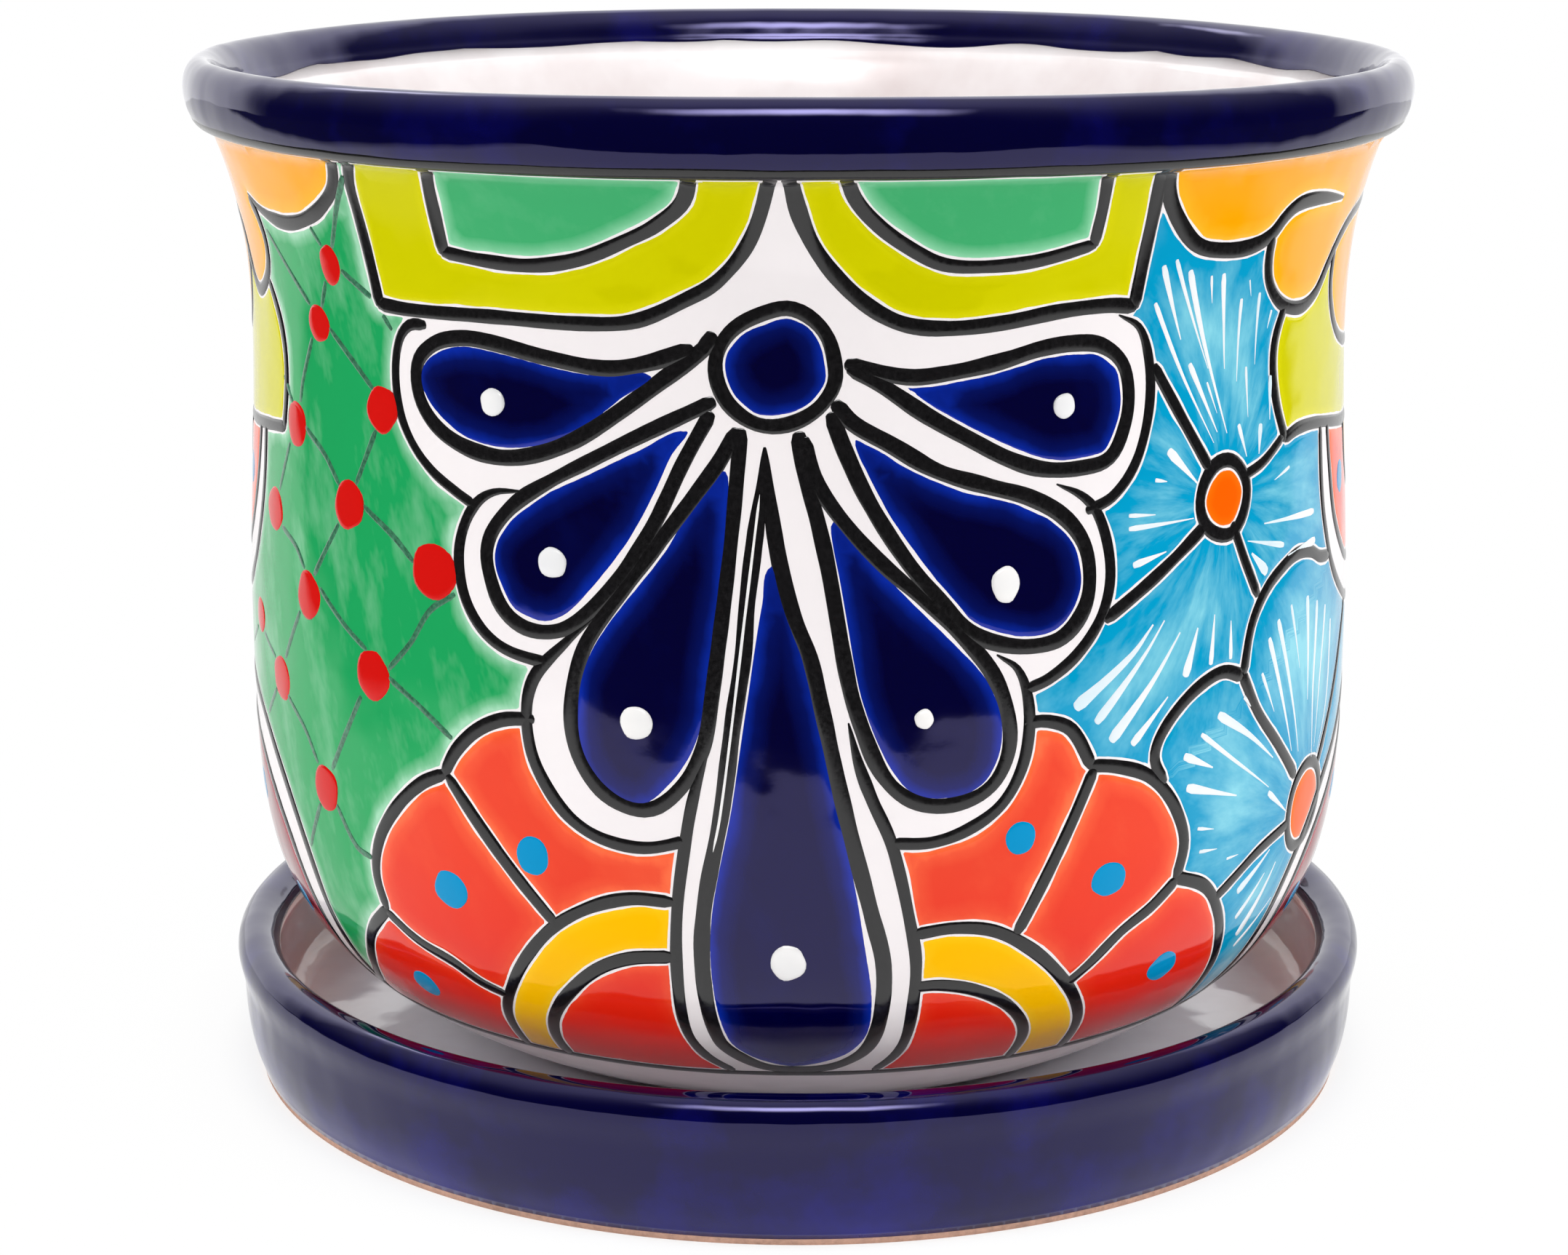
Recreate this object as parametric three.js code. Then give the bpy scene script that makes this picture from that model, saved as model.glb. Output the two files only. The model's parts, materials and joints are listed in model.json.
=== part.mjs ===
// A glazed clay flower pot standing in its drip saucer.
// Millimetres, +Z up. The origin is the centre of the saucer's underside, on the table.
// Both pieces are round, so each is one closed outline turned about the Z axis.
import * as THREE from 'three';

// Pot, measured from the underside of its foot
const RIM_RADIUS = 127;
const POT_HEIGHT = 207.5;
const RIM_ROLL_WIDTH = 8.7;
const RIM_ROLL_HEIGHT = 14.3;
const WAIST_RADIUS = 114.7;
const WAIST_BELOW_RIM = 53.5;
const WAIST_HANDLE = 15;
const FLARE_DROP = 12;
const FLARE_LEAN = 5;
const BELLY_RADIUS = 117.1;
const BELLY_HEIGHT = 90;
const BELLY_HANDLE = 47.2;
const FOOT_RADIUS = 67;
const FOOT_HANDLE_OUT = 52;
const FOOT_HANDLE_UP = 20.7;
const FOOT_RING_WIDTH = 9;
const FOOT_RING_DEPTH = 3;
const WALL = 7;
const BASE_THICKNESS = 9;
const INNER_FILLET = 6;
const DRAIN_RADIUS = 10;

// Saucer
const SAUCER_RADIUS = 123;
const SAUCER_HEIGHT = 30.5;
const SAUCER_ROLL_WIDTH = 9;
const SAUCER_ROLL_HEIGHT = 10.8;
const SAUCER_WALL_RADIUS = 121.9;
const SAUCER_BASE_RADIUS = 119.1;
const SAUCER_BASE_TURN = 4;
const SAUCER_WALL = 7;
const SAUCER_FLOOR = 8.7;
const SAUCER_FILLET = 6;

// The pot stands this far above the saucer's floor
const SEAT_GAP = 0.3;

// Fineness of the turned surfaces
const STEPS_AROUND = 72;
const STEPS_CURVE = 6;
const STEPS_ROLL_QUARTER = 4;
const STEPS_FILLET = 3;

const potGlaze = new THREE.MeshStandardMaterial({ color: '#f2e9e6', roughness: 0.15, metalness: 0 });
const saucerGlaze = new THREE.MeshStandardMaterial({ color: '#0b0a4a', roughness: 0.12, metalness: 0 });

// Points along a smooth curve from one point to another, pulled by two handles
function curvePoints(start, handleA, handleB, end, steps) {
  return new THREE.CubicBezierCurve(start, handleA, handleB, end).getPoints(steps);
}

// Points round a rolled rim, from its underside, over the top, to its inner edge
function rollPoints(radius, top, width, height) {
  const middle = new THREE.Vector2(radius - width / 2, top - height / 2);
  const points = [];
  for (let i = -STEPS_ROLL_QUARTER; i <= 2 * STEPS_ROLL_QUARTER; i += 1) {
    const angle = (Math.PI * i) / (2 * STEPS_ROLL_QUARTER);
    const x = middle.x + (width / 2) * Math.cos(angle);
    points.push(new THREE.Vector2(x, middle.y + (height / 2) * Math.sin(angle)));
  }
  return points;
}

// The inside of a wall: the outside line moved in by the wall's thickness
function insetLine(points, thickness) {
  return points.map((point, i) => {
    const before = points[Math.max(i - 1, 0)];
    const after = points[Math.min(i + 1, points.length - 1)];
    const along = after.clone().sub(before).normalize();
    return new THREE.Vector2(point.x - along.y * thickness, point.y + along.x * thickness);
  });
}

// The radius at which a rising line of points reaches a given height
function radiusAt(points, height) {
  const next = points.findIndex((point) => point.y > height);
  const high = points[next];
  const low = points[next - 1];
  return THREE.MathUtils.mapLinear(height, low.y, high.y, low.x, high.x);
}

// The inside line from the top down to the floor, with a rounded corner at the floor
function insideWithFloor(risingLine, floor, fillet) {
  const corner = new THREE.Vector2(radiusAt(risingLine, floor), floor);
  const wallEnd = new THREE.Vector2(radiusAt(risingLine, floor + fillet), floor + fillet);
  const floorEnd = new THREE.Vector2(corner.x - fillet, floor);
  const round = new THREE.QuadraticBezierCurve(wallEnd, corner, floorEnd).getPoints(STEPS_FILLET);
  const wall = risingLine.filter((point) => point.y > wallEnd.y + 1);
  return [...wall.reverse(), ...round];
}

// Turn a closed outline about the vertical axis
function turned(name, outline, material) {
  const geometry = new THREE.LatheGeometry(outline, STEPS_AROUND);
  geometry.rotateX(Math.PI / 2);
  const mesh = new THREE.Mesh(geometry, material);
  mesh.name = name;
  return mesh;
}

// Outside of the pot's wall, from the foot up to the underside of the rolled rim
function potOutside(roll) {
  const waist = POT_HEIGHT - WAIST_BELOW_RIM;
  const lower = curvePoints(
    new THREE.Vector2(FOOT_RADIUS, 0),
    new THREE.Vector2(FOOT_RADIUS + FOOT_HANDLE_OUT, FOOT_HANDLE_UP),
    new THREE.Vector2(BELLY_RADIUS, BELLY_HEIGHT - BELLY_HANDLE),
    new THREE.Vector2(BELLY_RADIUS, BELLY_HEIGHT),
    2 * STEPS_CURVE,
  );
  const middle = curvePoints(
    new THREE.Vector2(BELLY_RADIUS, BELLY_HEIGHT),
    new THREE.Vector2(BELLY_RADIUS, (2 * BELLY_HEIGHT + waist) / 3),
    new THREE.Vector2(WAIST_RADIUS, (BELLY_HEIGHT + 2 * waist) / 3),
    new THREE.Vector2(WAIST_RADIUS, waist),
    STEPS_CURVE / 2,
  );
  const flare = curvePoints(
    new THREE.Vector2(WAIST_RADIUS, waist),
    new THREE.Vector2(WAIST_RADIUS, waist + WAIST_HANDLE),
    new THREE.Vector2(roll[0].x - FLARE_LEAN, roll[0].y - FLARE_DROP),
    roll[0],
    STEPS_CURVE,
  );
  return [...lower, ...middle.slice(1), ...flare.slice(1)];
}

function makePot() {
  const roll = rollPoints(RIM_RADIUS, POT_HEIGHT, RIM_ROLL_WIDTH, RIM_ROLL_HEIGHT);
  const outside = potOutside(roll);
  const floor = FOOT_RING_DEPTH + BASE_THICKNESS;
  const ringInside = FOOT_RADIUS - FOOT_RING_WIDTH;
  const outline = [
    new THREE.Vector2(DRAIN_RADIUS, FOOT_RING_DEPTH),
    new THREE.Vector2(ringInside - FOOT_RING_DEPTH, FOOT_RING_DEPTH),
    new THREE.Vector2(ringInside, 0),
    ...outside.slice(0, -1),
    ...roll,
    ...insideWithFloor(insetLine(outside, WALL), floor, INNER_FILLET),
    new THREE.Vector2(DRAIN_RADIUS, floor),
    new THREE.Vector2(DRAIN_RADIUS, FOOT_RING_DEPTH),
  ];
  const pot = turned('flower_pot', outline, potGlaze);
  pot.position.z = SAUCER_FLOOR + SEAT_GAP;
  return pot;
}

function makeSaucer() {
  const roll = rollPoints(SAUCER_RADIUS, SAUCER_HEIGHT, SAUCER_ROLL_WIDTH, SAUCER_ROLL_HEIGHT);
  const outside = curvePoints(
    new THREE.Vector2(SAUCER_BASE_RADIUS, 0),
    new THREE.Vector2(SAUCER_BASE_RADIUS, SAUCER_BASE_TURN),
    new THREE.Vector2(SAUCER_WALL_RADIUS, SAUCER_BASE_TURN),
    new THREE.Vector2(SAUCER_WALL_RADIUS, roll[0].y),
    STEPS_CURVE,
  );
  const innerWall = [
    new THREE.Vector2(SAUCER_WALL_RADIUS - SAUCER_WALL, 0),
    new THREE.Vector2(SAUCER_WALL_RADIUS - SAUCER_WALL, roll[0].y),
  ];
  // Outside, the roll starts where it stands out from the wall
  const rollMiddle = SAUCER_HEIGHT - SAUCER_ROLL_HEIGHT / 2;
  const rollOut = roll.filter((point) => point.y > rollMiddle || point.x > SAUCER_WALL_RADIUS);
  const outline = [
    new THREE.Vector2(0, 0),
    ...outside,
    ...rollOut,
    ...insideWithFloor(innerWall, SAUCER_FLOOR, SAUCER_FILLET),
    new THREE.Vector2(0, SAUCER_FLOOR),
  ];
  return turned('saucer', outline, saucerGlaze);
}

const potWithSaucer = new THREE.Group();
potWithSaucer.add(makeSaucer(), makePot());

export default potWithSaucer;
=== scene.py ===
"""A glazed clay flower pot in its drip saucer, painted by hand in a traditional folk style.

The clay, its glazes and the saucer are spun from their outlines. The painting is drawn flat, like a
paper sleeve laid round the pot: x runs round the wall from the middle of the front, y runs up the
wall from the foot, both in millimetres. The black lines divide the sleeve into cells, paint fills
the cells up to a hairline short of the lines, and all of it is then wrapped onto the wall. The sleeve
covers half of the pot, and the other half repeats it.
"""
import json
import math
from collections import namedtuple

import bmesh
import bpy
import numpy as np
from bpy.props import FloatProperty, FloatVectorProperty, PointerProperty
from mathutils import Matrix, Vector, noise
from mathutils.geometry import delaunay_2d_cdt, interpolate_bezier

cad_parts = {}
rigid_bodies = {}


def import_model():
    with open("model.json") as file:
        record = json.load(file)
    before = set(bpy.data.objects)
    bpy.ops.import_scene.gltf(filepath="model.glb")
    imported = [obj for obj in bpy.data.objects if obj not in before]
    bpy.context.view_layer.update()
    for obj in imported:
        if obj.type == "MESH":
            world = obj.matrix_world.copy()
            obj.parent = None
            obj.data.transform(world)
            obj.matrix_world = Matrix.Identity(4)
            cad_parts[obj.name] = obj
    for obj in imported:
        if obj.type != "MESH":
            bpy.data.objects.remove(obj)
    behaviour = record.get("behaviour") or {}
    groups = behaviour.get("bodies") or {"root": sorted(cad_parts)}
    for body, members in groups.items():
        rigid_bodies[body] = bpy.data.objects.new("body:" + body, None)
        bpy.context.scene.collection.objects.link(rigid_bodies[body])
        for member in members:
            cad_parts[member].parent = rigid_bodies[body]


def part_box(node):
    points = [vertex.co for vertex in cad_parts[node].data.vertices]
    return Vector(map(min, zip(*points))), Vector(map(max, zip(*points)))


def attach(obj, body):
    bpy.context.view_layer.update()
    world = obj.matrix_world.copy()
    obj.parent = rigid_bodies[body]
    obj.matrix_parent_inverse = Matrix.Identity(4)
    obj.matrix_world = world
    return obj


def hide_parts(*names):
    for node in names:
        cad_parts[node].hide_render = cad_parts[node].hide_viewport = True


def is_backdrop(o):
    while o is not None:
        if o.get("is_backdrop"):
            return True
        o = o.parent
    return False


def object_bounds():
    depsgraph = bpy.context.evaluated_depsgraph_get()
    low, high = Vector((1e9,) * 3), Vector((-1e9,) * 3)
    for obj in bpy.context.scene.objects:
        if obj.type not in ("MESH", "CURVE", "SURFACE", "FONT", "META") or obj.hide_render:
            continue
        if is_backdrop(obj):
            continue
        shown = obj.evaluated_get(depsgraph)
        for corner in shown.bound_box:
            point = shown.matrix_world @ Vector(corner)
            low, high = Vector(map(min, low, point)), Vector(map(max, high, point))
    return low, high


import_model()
CAD_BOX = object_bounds()
POT_LOW, POT_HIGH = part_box("flower_pot")
SAUCER_LOW, SAUCER_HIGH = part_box("saucer")

bl_info = {
    "name": "Painted Flower Pot",
    "version": (1, 0, 0),
    "blender": (4, 5, 0),
    "location": "3D View > Sidebar > Flower Pot",
    "description": "Builds a hand-painted glazed flower pot in its saucer, and a studio to show it in",
    "category": "Add Mesh",
}

MM = 0.001

# Fineness: steps in a full turn, and millimetres between points on outlines, on strokes and in fills
STEPS_AROUND = 240
TURNED_STEP = 2.4
BRUSH_STEP = 1.3
FILL_STEP = 2.3

# Traces of the hand, in degrees and millimetres: how far the rolled rims lean out, how far a piece is
# out of round, and how much higher each stands in front
POT_LEAN = 8
SAUCER_LEAN = 5
UNEVEN = 0.35
FRONT_RISE = {"pot": 0.9, "saucer": 0.0}

# How high each body stands in the frame, in millimetres
STANDS_AT = {"pot": POT_LOW.z / MM, "saucer": 0}

# Heights up the wall, in millimetres, between which a glaze with a run colour turns to it, deeper towards
# the foot
RUN_DEEPEST = 46
RUN_START = 90

# Paint, in millimetres: how wide the rounding of its edge is, and how far lines and fills, strokes over
# them and dots are sunk into what they lie on
PAINT_EDGE = 1.1
SUNK = 0.03
STROKE_SUNK = 0.06
DOT_SUNK = 0.08


# Colours and sizes that a user can change

def to_linear(code):
    """The linear red, green and blue of an sRGB hex colour"""
    channels = [int(code[i : i + 2], 16) / 255 for i in (1, 3, 5)]
    return tuple(c / 12.92 if c <= 0.04045 else ((c + 0.055) / 1.055) ** 2.4 for c in channels)


def length(name, metres, description):
    """A length in metres, as a setting"""
    return FloatProperty(name=name, description=description, default=metres, min=0.0, unit="LENGTH")


def colour(name, code, description):
    """A colour, as a setting"""
    return FloatVectorProperty(
        name=name, description=description, default=to_linear(code), subtype="COLOR", min=0.0, max=1.0
    )


class PotShape(bpy.types.PropertyGroup):
    """Sizes of the pot, measured from the underside of its foot"""

    rim_radius: length("Rim radius", POT_HIGH.x, "Outermost radius of the rolled rim")
    height: length("Height", POT_HIGH.z - POT_LOW.z, "From the foot to the top of the rim")
    roll_width: length("Roll width", 0.0087, "Thickness of the rolled rim")
    roll_height: length("Roll height", 0.0143, "Height of the rolled rim")
    waist_radius: length("Waist radius", 0.1147, "Narrowest radius below the rim")
    waist_below_rim: length("Waist below rim", 0.0535, "Distance from the waist to the top")
    waist_handle: length("Waist handle", 0.015, "How long the wall stays upright at the waist")
    flare_drop: length("Flare drop", 0.012, "Height of the curve that meets the roll")
    flare_lean: length("Flare lean", 0.005, "How far that curve leans out")
    belly_radius: length("Belly radius", 0.1171, "Widest radius of the body")
    belly_height: length("Belly height", 0.090, "Height of the widest place")
    belly_handle: length("Belly handle", 0.0472, "How long the wall stays upright below it")
    foot_radius: length("Foot radius", 0.067, "Radius of the foot")
    foot_handle_out: length("Foot curve out", 0.052, "How flat the wall leaves the foot")
    foot_handle_up: length("Foot curve up", 0.0207, "How steeply the wall leaves the foot")
    foot_ring_width: length("Foot ring width", 0.009, "Width of the ring that the pot stands on")
    foot_ring_depth: length("Foot ring depth", 0.003, "Depth of the hollow inside that ring")
    wall: length("Wall", 0.007, "Thickness of the wall")
    base: length("Base", 0.009, "Thickness of the base")
    fillet: length("Inner fillet", 0.006, "Rounding between wall and floor inside")
    drain_radius: length("Drain radius", 0.010, "Radius of the drain hole")


class SaucerShape(bpy.types.PropertyGroup):
    """Sizes of the saucer"""

    radius: length("Radius", SAUCER_HIGH.x, "Outermost radius of its rolled rim")
    height: length("Height", SAUCER_HIGH.z - SAUCER_LOW.z, "Height of the saucer")
    roll_width: length("Roll width", 0.009, "Thickness of the rolled rim")
    roll_height: length("Roll height", 0.0108, "Height of the rolled rim")
    wall_radius: length("Wall radius", 0.1219, "Outside radius of the wall")
    base_radius: length("Base radius", 0.1191, "Radius of the underside")
    base_turn: length("Base turn", 0.004, "Height of the rounding at the underside")
    wall: length("Wall", 0.007, "Thickness of the wall")
    floor: length("Floor", 0.0087, "Thickness of the floor")
    fillet: length("Fillet", 0.006, "Rounding between wall and floor inside")
    bare_edge: length("Bare edge", 0.0010, "Height of the unglazed clay at the table")


class PaintSizes(bpy.types.PropertyGroup):
    """Sizes of the glazes and of the brushwork"""

    coat: length("Coat", 0.0003, "Thickness of a glaze coat")
    paint: length("Paint", 0.00014, "How far the filled patches stand proud")
    line: length("Line", 0.00021, "How far the black lines stand proud")
    hairline: length("Hairline", 0.00029, "White gap between paint and line")
    girth_radius: length("Girth radius", 0.117, "Radius at which the flat drawing is true to size")
    foot_line: length("Foot line", 0.0365, "Height on the wall of the lower black line")
    rim_line: length("Rim line", 0.2216, "Height on the wall of the upper black line")
    rim_dip: length("Rim glaze inside", 0.0008, "How far the rim's blue runs below the roll inside")


class GlazeColours(bpy.types.PropertyGroup):
    """Colours of the glazes where they lie thick"""

    ground: colour("Ground", "#f4eeef", "White ground of the painting")
    cream: colour("Cream", "#faf5f5", "Glaze inside the pot and the saucer")
    clay: colour("Clay", "#c9a08c", "Fired clay where it is bare")
    rim: colour("Rim blue", "#01002a", "Cobalt of the rim and the saucer")
    petal: colour("Petal blue", "#01002e", "Cobalt of the long petals")
    line: colour("Line", "#0d0c0d", "Black of the outlines")
    chartreuse: colour("Chartreuse", "#cdc900", "Drapes and side blocks")
    green: colour("Green", "#2fa765", "Half ovals under the rim")
    lattice: colour("Lattice green", "#1c9f59", "Ground behind the lattice")
    sky: colour("Sky blue", "#0098c4", "Ground behind the wheel flowers")
    orange: colour("Orange", "#ffa600", "Petals under the rim")
    disc: colour("Disc orange", "#ff5f00", "Middles of the wheel flowers")
    tomato: colour("Tomato", "#ea3e1f", "Low flowers beside the front petal")
    maroon: colour("Maroon", "#7d1420", "Inside of the low round shields")
    yellow: colour("Yellow", "#ffbe02", "Bows of the low flowers")
    teal: colour("Teal", "#028fc4", "Dots on the red petals")
    berry: colour("Berry", "#cf130f", "Dots of the lattice")


# The outlines, in millimetres, as arrays of radius and height

def in_mm(group):
    """The group's lengths in millimetres, by name"""
    values = {name: getattr(group, name) / MM for name in group.__annotations__}
    return namedtuple("Sizes", values)(**values)


def curve(start, handle_a, handle_b, end):
    """Points about TURNED_STEP apart on a curve that two handles pull"""
    ends = [Vector(point) for point in (start, handle_a, handle_b, end)]
    reach = sum((b - a).length for a, b in zip(ends, ends[1:]))
    return [tuple(p) for p in interpolate_bezier(*ends, max(4, round(reach / TURNED_STEP)))]


def roll(radius, top, width, height, lean, start=-90, end=180):
    """The rolled rim, from its underside over the top to its inner edge, leaning out by some degrees"""
    tilt = Matrix.Rotation(-math.radians(lean), 2)
    middle = Vector((radius - width / 2, top - height / 2))
    angles = np.radians(np.arange(start, end + 1, 7.5))
    around = [Vector((width / 2 * math.cos(a), height / 2 * math.sin(a))) for a in angles]
    return [tuple(middle + tilt @ point) for point in around]


def pot_roll(pot, start=-90, end=180):
    """The pot's own rolled rim, or a part of it"""
    return roll(pot.rim_radius, pot.height, pot.roll_width, pot.roll_height, POT_LEAN, start, end)


def tidy_line(points):
    """The points as an array, without doubles"""
    line = np.array(points, float)
    keep = np.r_[True, np.linalg.norm(np.diff(line, axis=0), axis=1) > 1e-4]
    return line[keep]


def outward(line):
    """Unit normals on the right of a line that runs up the outside and down the inside"""
    along = np.gradient(line, axis=0)
    along /= np.linalg.norm(along, axis=1)[:, None]
    return np.column_stack([along[:, 1], -along[:, 0]])


def pot_outside(pot):
    """The outside from the foot up to the underside of the roll"""
    waist = pot.height - pot.waist_below_rim
    belly = (pot.belly_radius, pot.belly_height)
    crease = pot_roll(pot)[0]
    third = (waist - pot.belly_height) / 3
    lower = curve(
        (pot.foot_radius, 0),
        (pot.foot_radius + pot.foot_handle_out, pot.foot_handle_up),
        (pot.belly_radius, pot.belly_height - pot.belly_handle),
        belly,
    )
    middle = curve(
        belly,
        (pot.belly_radius, pot.belly_height + third),
        (pot.waist_radius, waist - third),
        (pot.waist_radius, waist),
    )
    flare = curve(
        (pot.waist_radius, waist),
        (pot.waist_radius, waist + pot.waist_handle),
        (crease[0] - pot.flare_lean, crease[1] - pot.flare_drop),
        crease,
    )
    return tidy_line(lower + middle + flare)


def down_inside(rising, thickness, floor, fillet, floor_end):
    """The inside of a wall, from its top down and along the floor"""
    inner = rising - outward(rising) * thickness
    foot = np.interp(floor + fillet, inner[:, 1], inner[:, 0])
    corner = np.interp(floor, inner[:, 1], inner[:, 0])
    wall = [tuple(p) for p in inner[::-1] if p[1] > floor + fillet + 0.5]
    pull = fillet * 0.35
    bend = curve(
        (foot, floor + fillet),
        (corner, floor + pull),
        (corner - pull, floor),
        (corner - fillet, floor),
    )
    flat = [(r, floor) for r in np.linspace(corner - fillet, floor_end, 12)[1:]]
    return tidy_line(wall + bend + flat)


def coat(line, thickness):
    """The closed outline of a glaze coat on a line, thinning out to nothing at both ends"""
    under = line - outward(line) * thickness
    return np.vstack([line, under[1:-1][::-1]])


# Making meshes

def spun(outline):
    """A closed outline turned once about the upright axis"""
    bm = bmesh.new()
    verts = [bm.verts.new((radius, 0, height)) for radius, height in outline]
    edges = [bm.edges.new(pair) for pair in zip(verts, verts[1:] + verts[:1])]
    bmesh.ops.spin(
        bm,
        geom=verts + edges,
        cent=(0, 0, 0),
        axis=(0, 0, 1),
        dvec=(0, 0, 0),
        angle=math.tau,
        steps=STEPS_AROUND,
        use_merge=True,
        use_duplicate=False,
    )
    bmesh.ops.remove_doubles(bm, verts=bm.verts, dist=1e-4)
    bmesh.ops.recalc_face_normals(bm, faces=bm.faces)
    return bm


def hand_made(places, top, front):
    """The slow unevenness of a piece that a hand has pressed and smoothed, none at its foot.

    The wall swells in and out, the rim sways a little below its full height, and its lip rises in front.
    """
    turn = np.arctan2(places[:, 1], places[:, 0])
    radius = np.maximum(np.hypot(places[:, 0], places[:, 1]), 1)
    share = np.clip(places[:, 2] / top, 0, 1)
    swell = 0.6 * np.sin(2 * turn + 0.7) + 0.4 * np.sin(3 * turn + 2.1 + 2 * share)
    sway = 0.5 * np.sin(2 * turn - 1.6) + 0.5 * np.sin(5 * turn + 3.1)
    lip = np.clip((places[:, 2] / top - 0.93) / 0.07, 0, 1)
    places[:, :2] *= (1 + UNEVEN * share * swell / radius)[:, None]
    places[:, 2] += UNEVEN * share**3 * (sway - 1) * 0.8
    places[:, 2] += front * lip * np.clip(-np.sin(turn), 0, 1) ** 3


def finish_piece(name, bm, material, body, slot, height):
    """The finished object: uneven by hand, in metres, riding on its body"""
    for face in bm.faces:
        face.smooth = True
    mesh = bpy.data.meshes.new(name)
    bm.to_mesh(mesh)
    bm.free()
    places = np.empty(len(mesh.vertices) * 3)
    mesh.vertices.foreach_get("co", places)
    places = places.reshape(-1, 3)
    hand_made(places, height, FRONT_RISE[body])
    places[:, 2] += STANDS_AT[body]
    mesh.vertices.foreach_set("co", (places * MM).ravel())
    mesh.update()
    mesh.materials.append(material)
    piece = bpy.data.objects.new(name, mesh)
    bpy.context.scene.collection.objects.link(piece)
    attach(piece, body)
    return piece


# Materials

def node(tree, kind, stops=(), **settings):
    """Add a node with its settings and links.

    A name with a capital letter is an input, and so is in0, in1 or another number. The other names are
    the node's own settings. The stops are those of a colour ramp, each a place and a linear colour.
    """
    made = tree.nodes.new("ShaderNode" + kind)
    for name, value in settings.items():
        if name[0].isupper():
            socket = made.inputs[name]
        elif name[2:].isdigit():
            socket = made.inputs[int(name[2:])]
        else:
            setattr(made, name, value)
            continue
        if isinstance(value, bpy.types.NodeSocket):
            tree.links.new(value, socket)
        else:
            socket.default_value = value
    if stops:
        elements = made.color_ramp.elements
        for _ in stops[2:]:
            elements.new(0.5)
        for element, (place, linear) in zip(elements, stops):
            element.position = place
            element.color = (*linear, 1)
    return made


def blank(name):
    """A new material's node tree with its shader, and the place that patterns are read from"""
    material = bpy.data.materials.new(name)
    material.use_nodes = True
    tree = material.node_tree
    tree.nodes.clear()
    shader = node(tree, "BsdfPrincipled")
    out = node(tree, "OutputMaterial")
    tree.links.new(shader.outputs["BSDF"], out.inputs["Surface"])
    where = node(tree, "TexCoord").outputs["Object"]
    return material, tree, shader, where


def per_mm(size):
    """The scale at which a noise has features of a size in millimetres"""
    return 1 / (size * MM)


def shade(linear, factor):
    """A linear colour, made darker or lighter"""
    return tuple(min(1.0, c * factor) for c in linear)


def blend_colour(a, b, share):
    """A share of the way from one linear colour to another"""
    return tuple(x + (y - x) * share for x, y in zip(a, b))


def cobalt_gleam(shader):
    """Glaze that is rich in cobalt reflects strongly, and a little blue"""
    shader.inputs["Specular IOR Level"].default_value = 0.85
    shader.inputs["Specular Tint"].default_value = (0.56, 0.52, 1.0, 1)


def glaze_skin(tree, shader, where, roughness):
    """A fired glaze: clear and glossy, with the slow waves of a melt and fine pin-prick pits"""
    shader.inputs["Roughness"].default_value = roughness
    shader.inputs["IOR"].default_value = 1.5
    slow = node(tree, "TexNoise", Vector=where, Scale=per_mm(16), Detail=1.5, Roughness=0.4)
    fine = node(tree, "TexNoise", Vector=where, Scale=per_mm(1.1), Detail=1.0)
    swell = node(tree, "Bump", Height=slow.outputs["Fac"], Distance=1.5 * MM, Strength=0.35)
    skin = node(
        tree, "Bump", Height=fine.outputs["Fac"], Distance=0.004 * MM, Strength=0.5,
        Normal=swell.outputs["Normal"],
    )
    tree.links.new(skin.outputs["Normal"], shader.inputs["Normal"])


def pooled_glaze(
    name, thick, thin, reach, mottle=0.35, streak=(9, 9), gleam=0.85, middle=0.5, run=None, cobalt=False
):
    """A strongly coloured glaze that pools: one colour at the edge of its patch, another in the middle.

    The patch's edge_mm attribute says how far each place is from that edge, and the colour is that of
    the middle from reach millimetres on. Its brush_mm attribute runs across and along the brush, so
    that marks as wide and as long as the streak follow it, as strong as the mottle. The gleam of such a
    glaze takes on some of its colour. A glaze with a run colour turns to it towards the foot, so it is
    deeper there.
    """
    material, tree, shader, where = blank(name)
    edge = node(tree, "Attribute", attribute_name="edge_mm")
    drawn_by = node(tree, "Attribute", attribute_name="brush_mm")
    scale = (1 / streak[0], 1 / streak[1], 1 / streak[0])
    marks = node(tree, "Mapping", Vector=drawn_by.outputs["Vector"], Scale=scale)
    cloudy = node(
        tree, "TexNoise", Vector=marks.outputs["Vector"], Scale=1.0, Detail=4.0, Roughness=0.6
    )
    depth = node(tree, "MapRange", Value=edge.outputs["Fac"], in1=0.0, in2=reach, in3=0.0, in4=1.0)
    shifted = node(
        tree, "Math", operation="MULTIPLY_ADD", in0=cloudy.outputs["Fac"], in1=mottle, in2=-mottle / 2
    )
    total = node(tree, "Math", operation="ADD", in0=depth.outputs["Result"], in1=shifted.outputs[0])
    between = blend_colour(thin, thick, middle)
    stops = [(0.0, thin), (0.4, between), (1.0, thick)]
    tint = node(tree, "ValToRGB", stops, Fac=total.outputs[0]).outputs["Color"]
    # Lower down the wall the colour turns deeper, to the run colour, fully so from RUN_DEEPEST down
    if run:
        up = node(tree, "SeparateXYZ", Vector=drawn_by.outputs["Vector"]).outputs["Y"]
        low = node(tree, "MapRange", Value=up, in1=RUN_DEEPEST, in2=RUN_START, in3=1.0, in4=0.0)
        tint = node(
            tree, "Mix", data_type="RGBA", in0=low.outputs["Result"], in6=tint, in7=(*run, 1)
        ).outputs[2]
    tree.links.new(tint, shader.inputs["Base Color"])
    # The gleam takes the hue of the darker of the two colours
    deepest = min(thick, thin, key=sum)
    hue = tuple(c / max(deepest) for c in deepest)
    shader.inputs["Specular Tint"].default_value = (*blend_colour((1, 1, 1), hue, gleam), 1)
    glaze_skin(tree, shader, where, 0.07)
    if cobalt:
        cobalt_gleam(shader)
    return material


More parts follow.
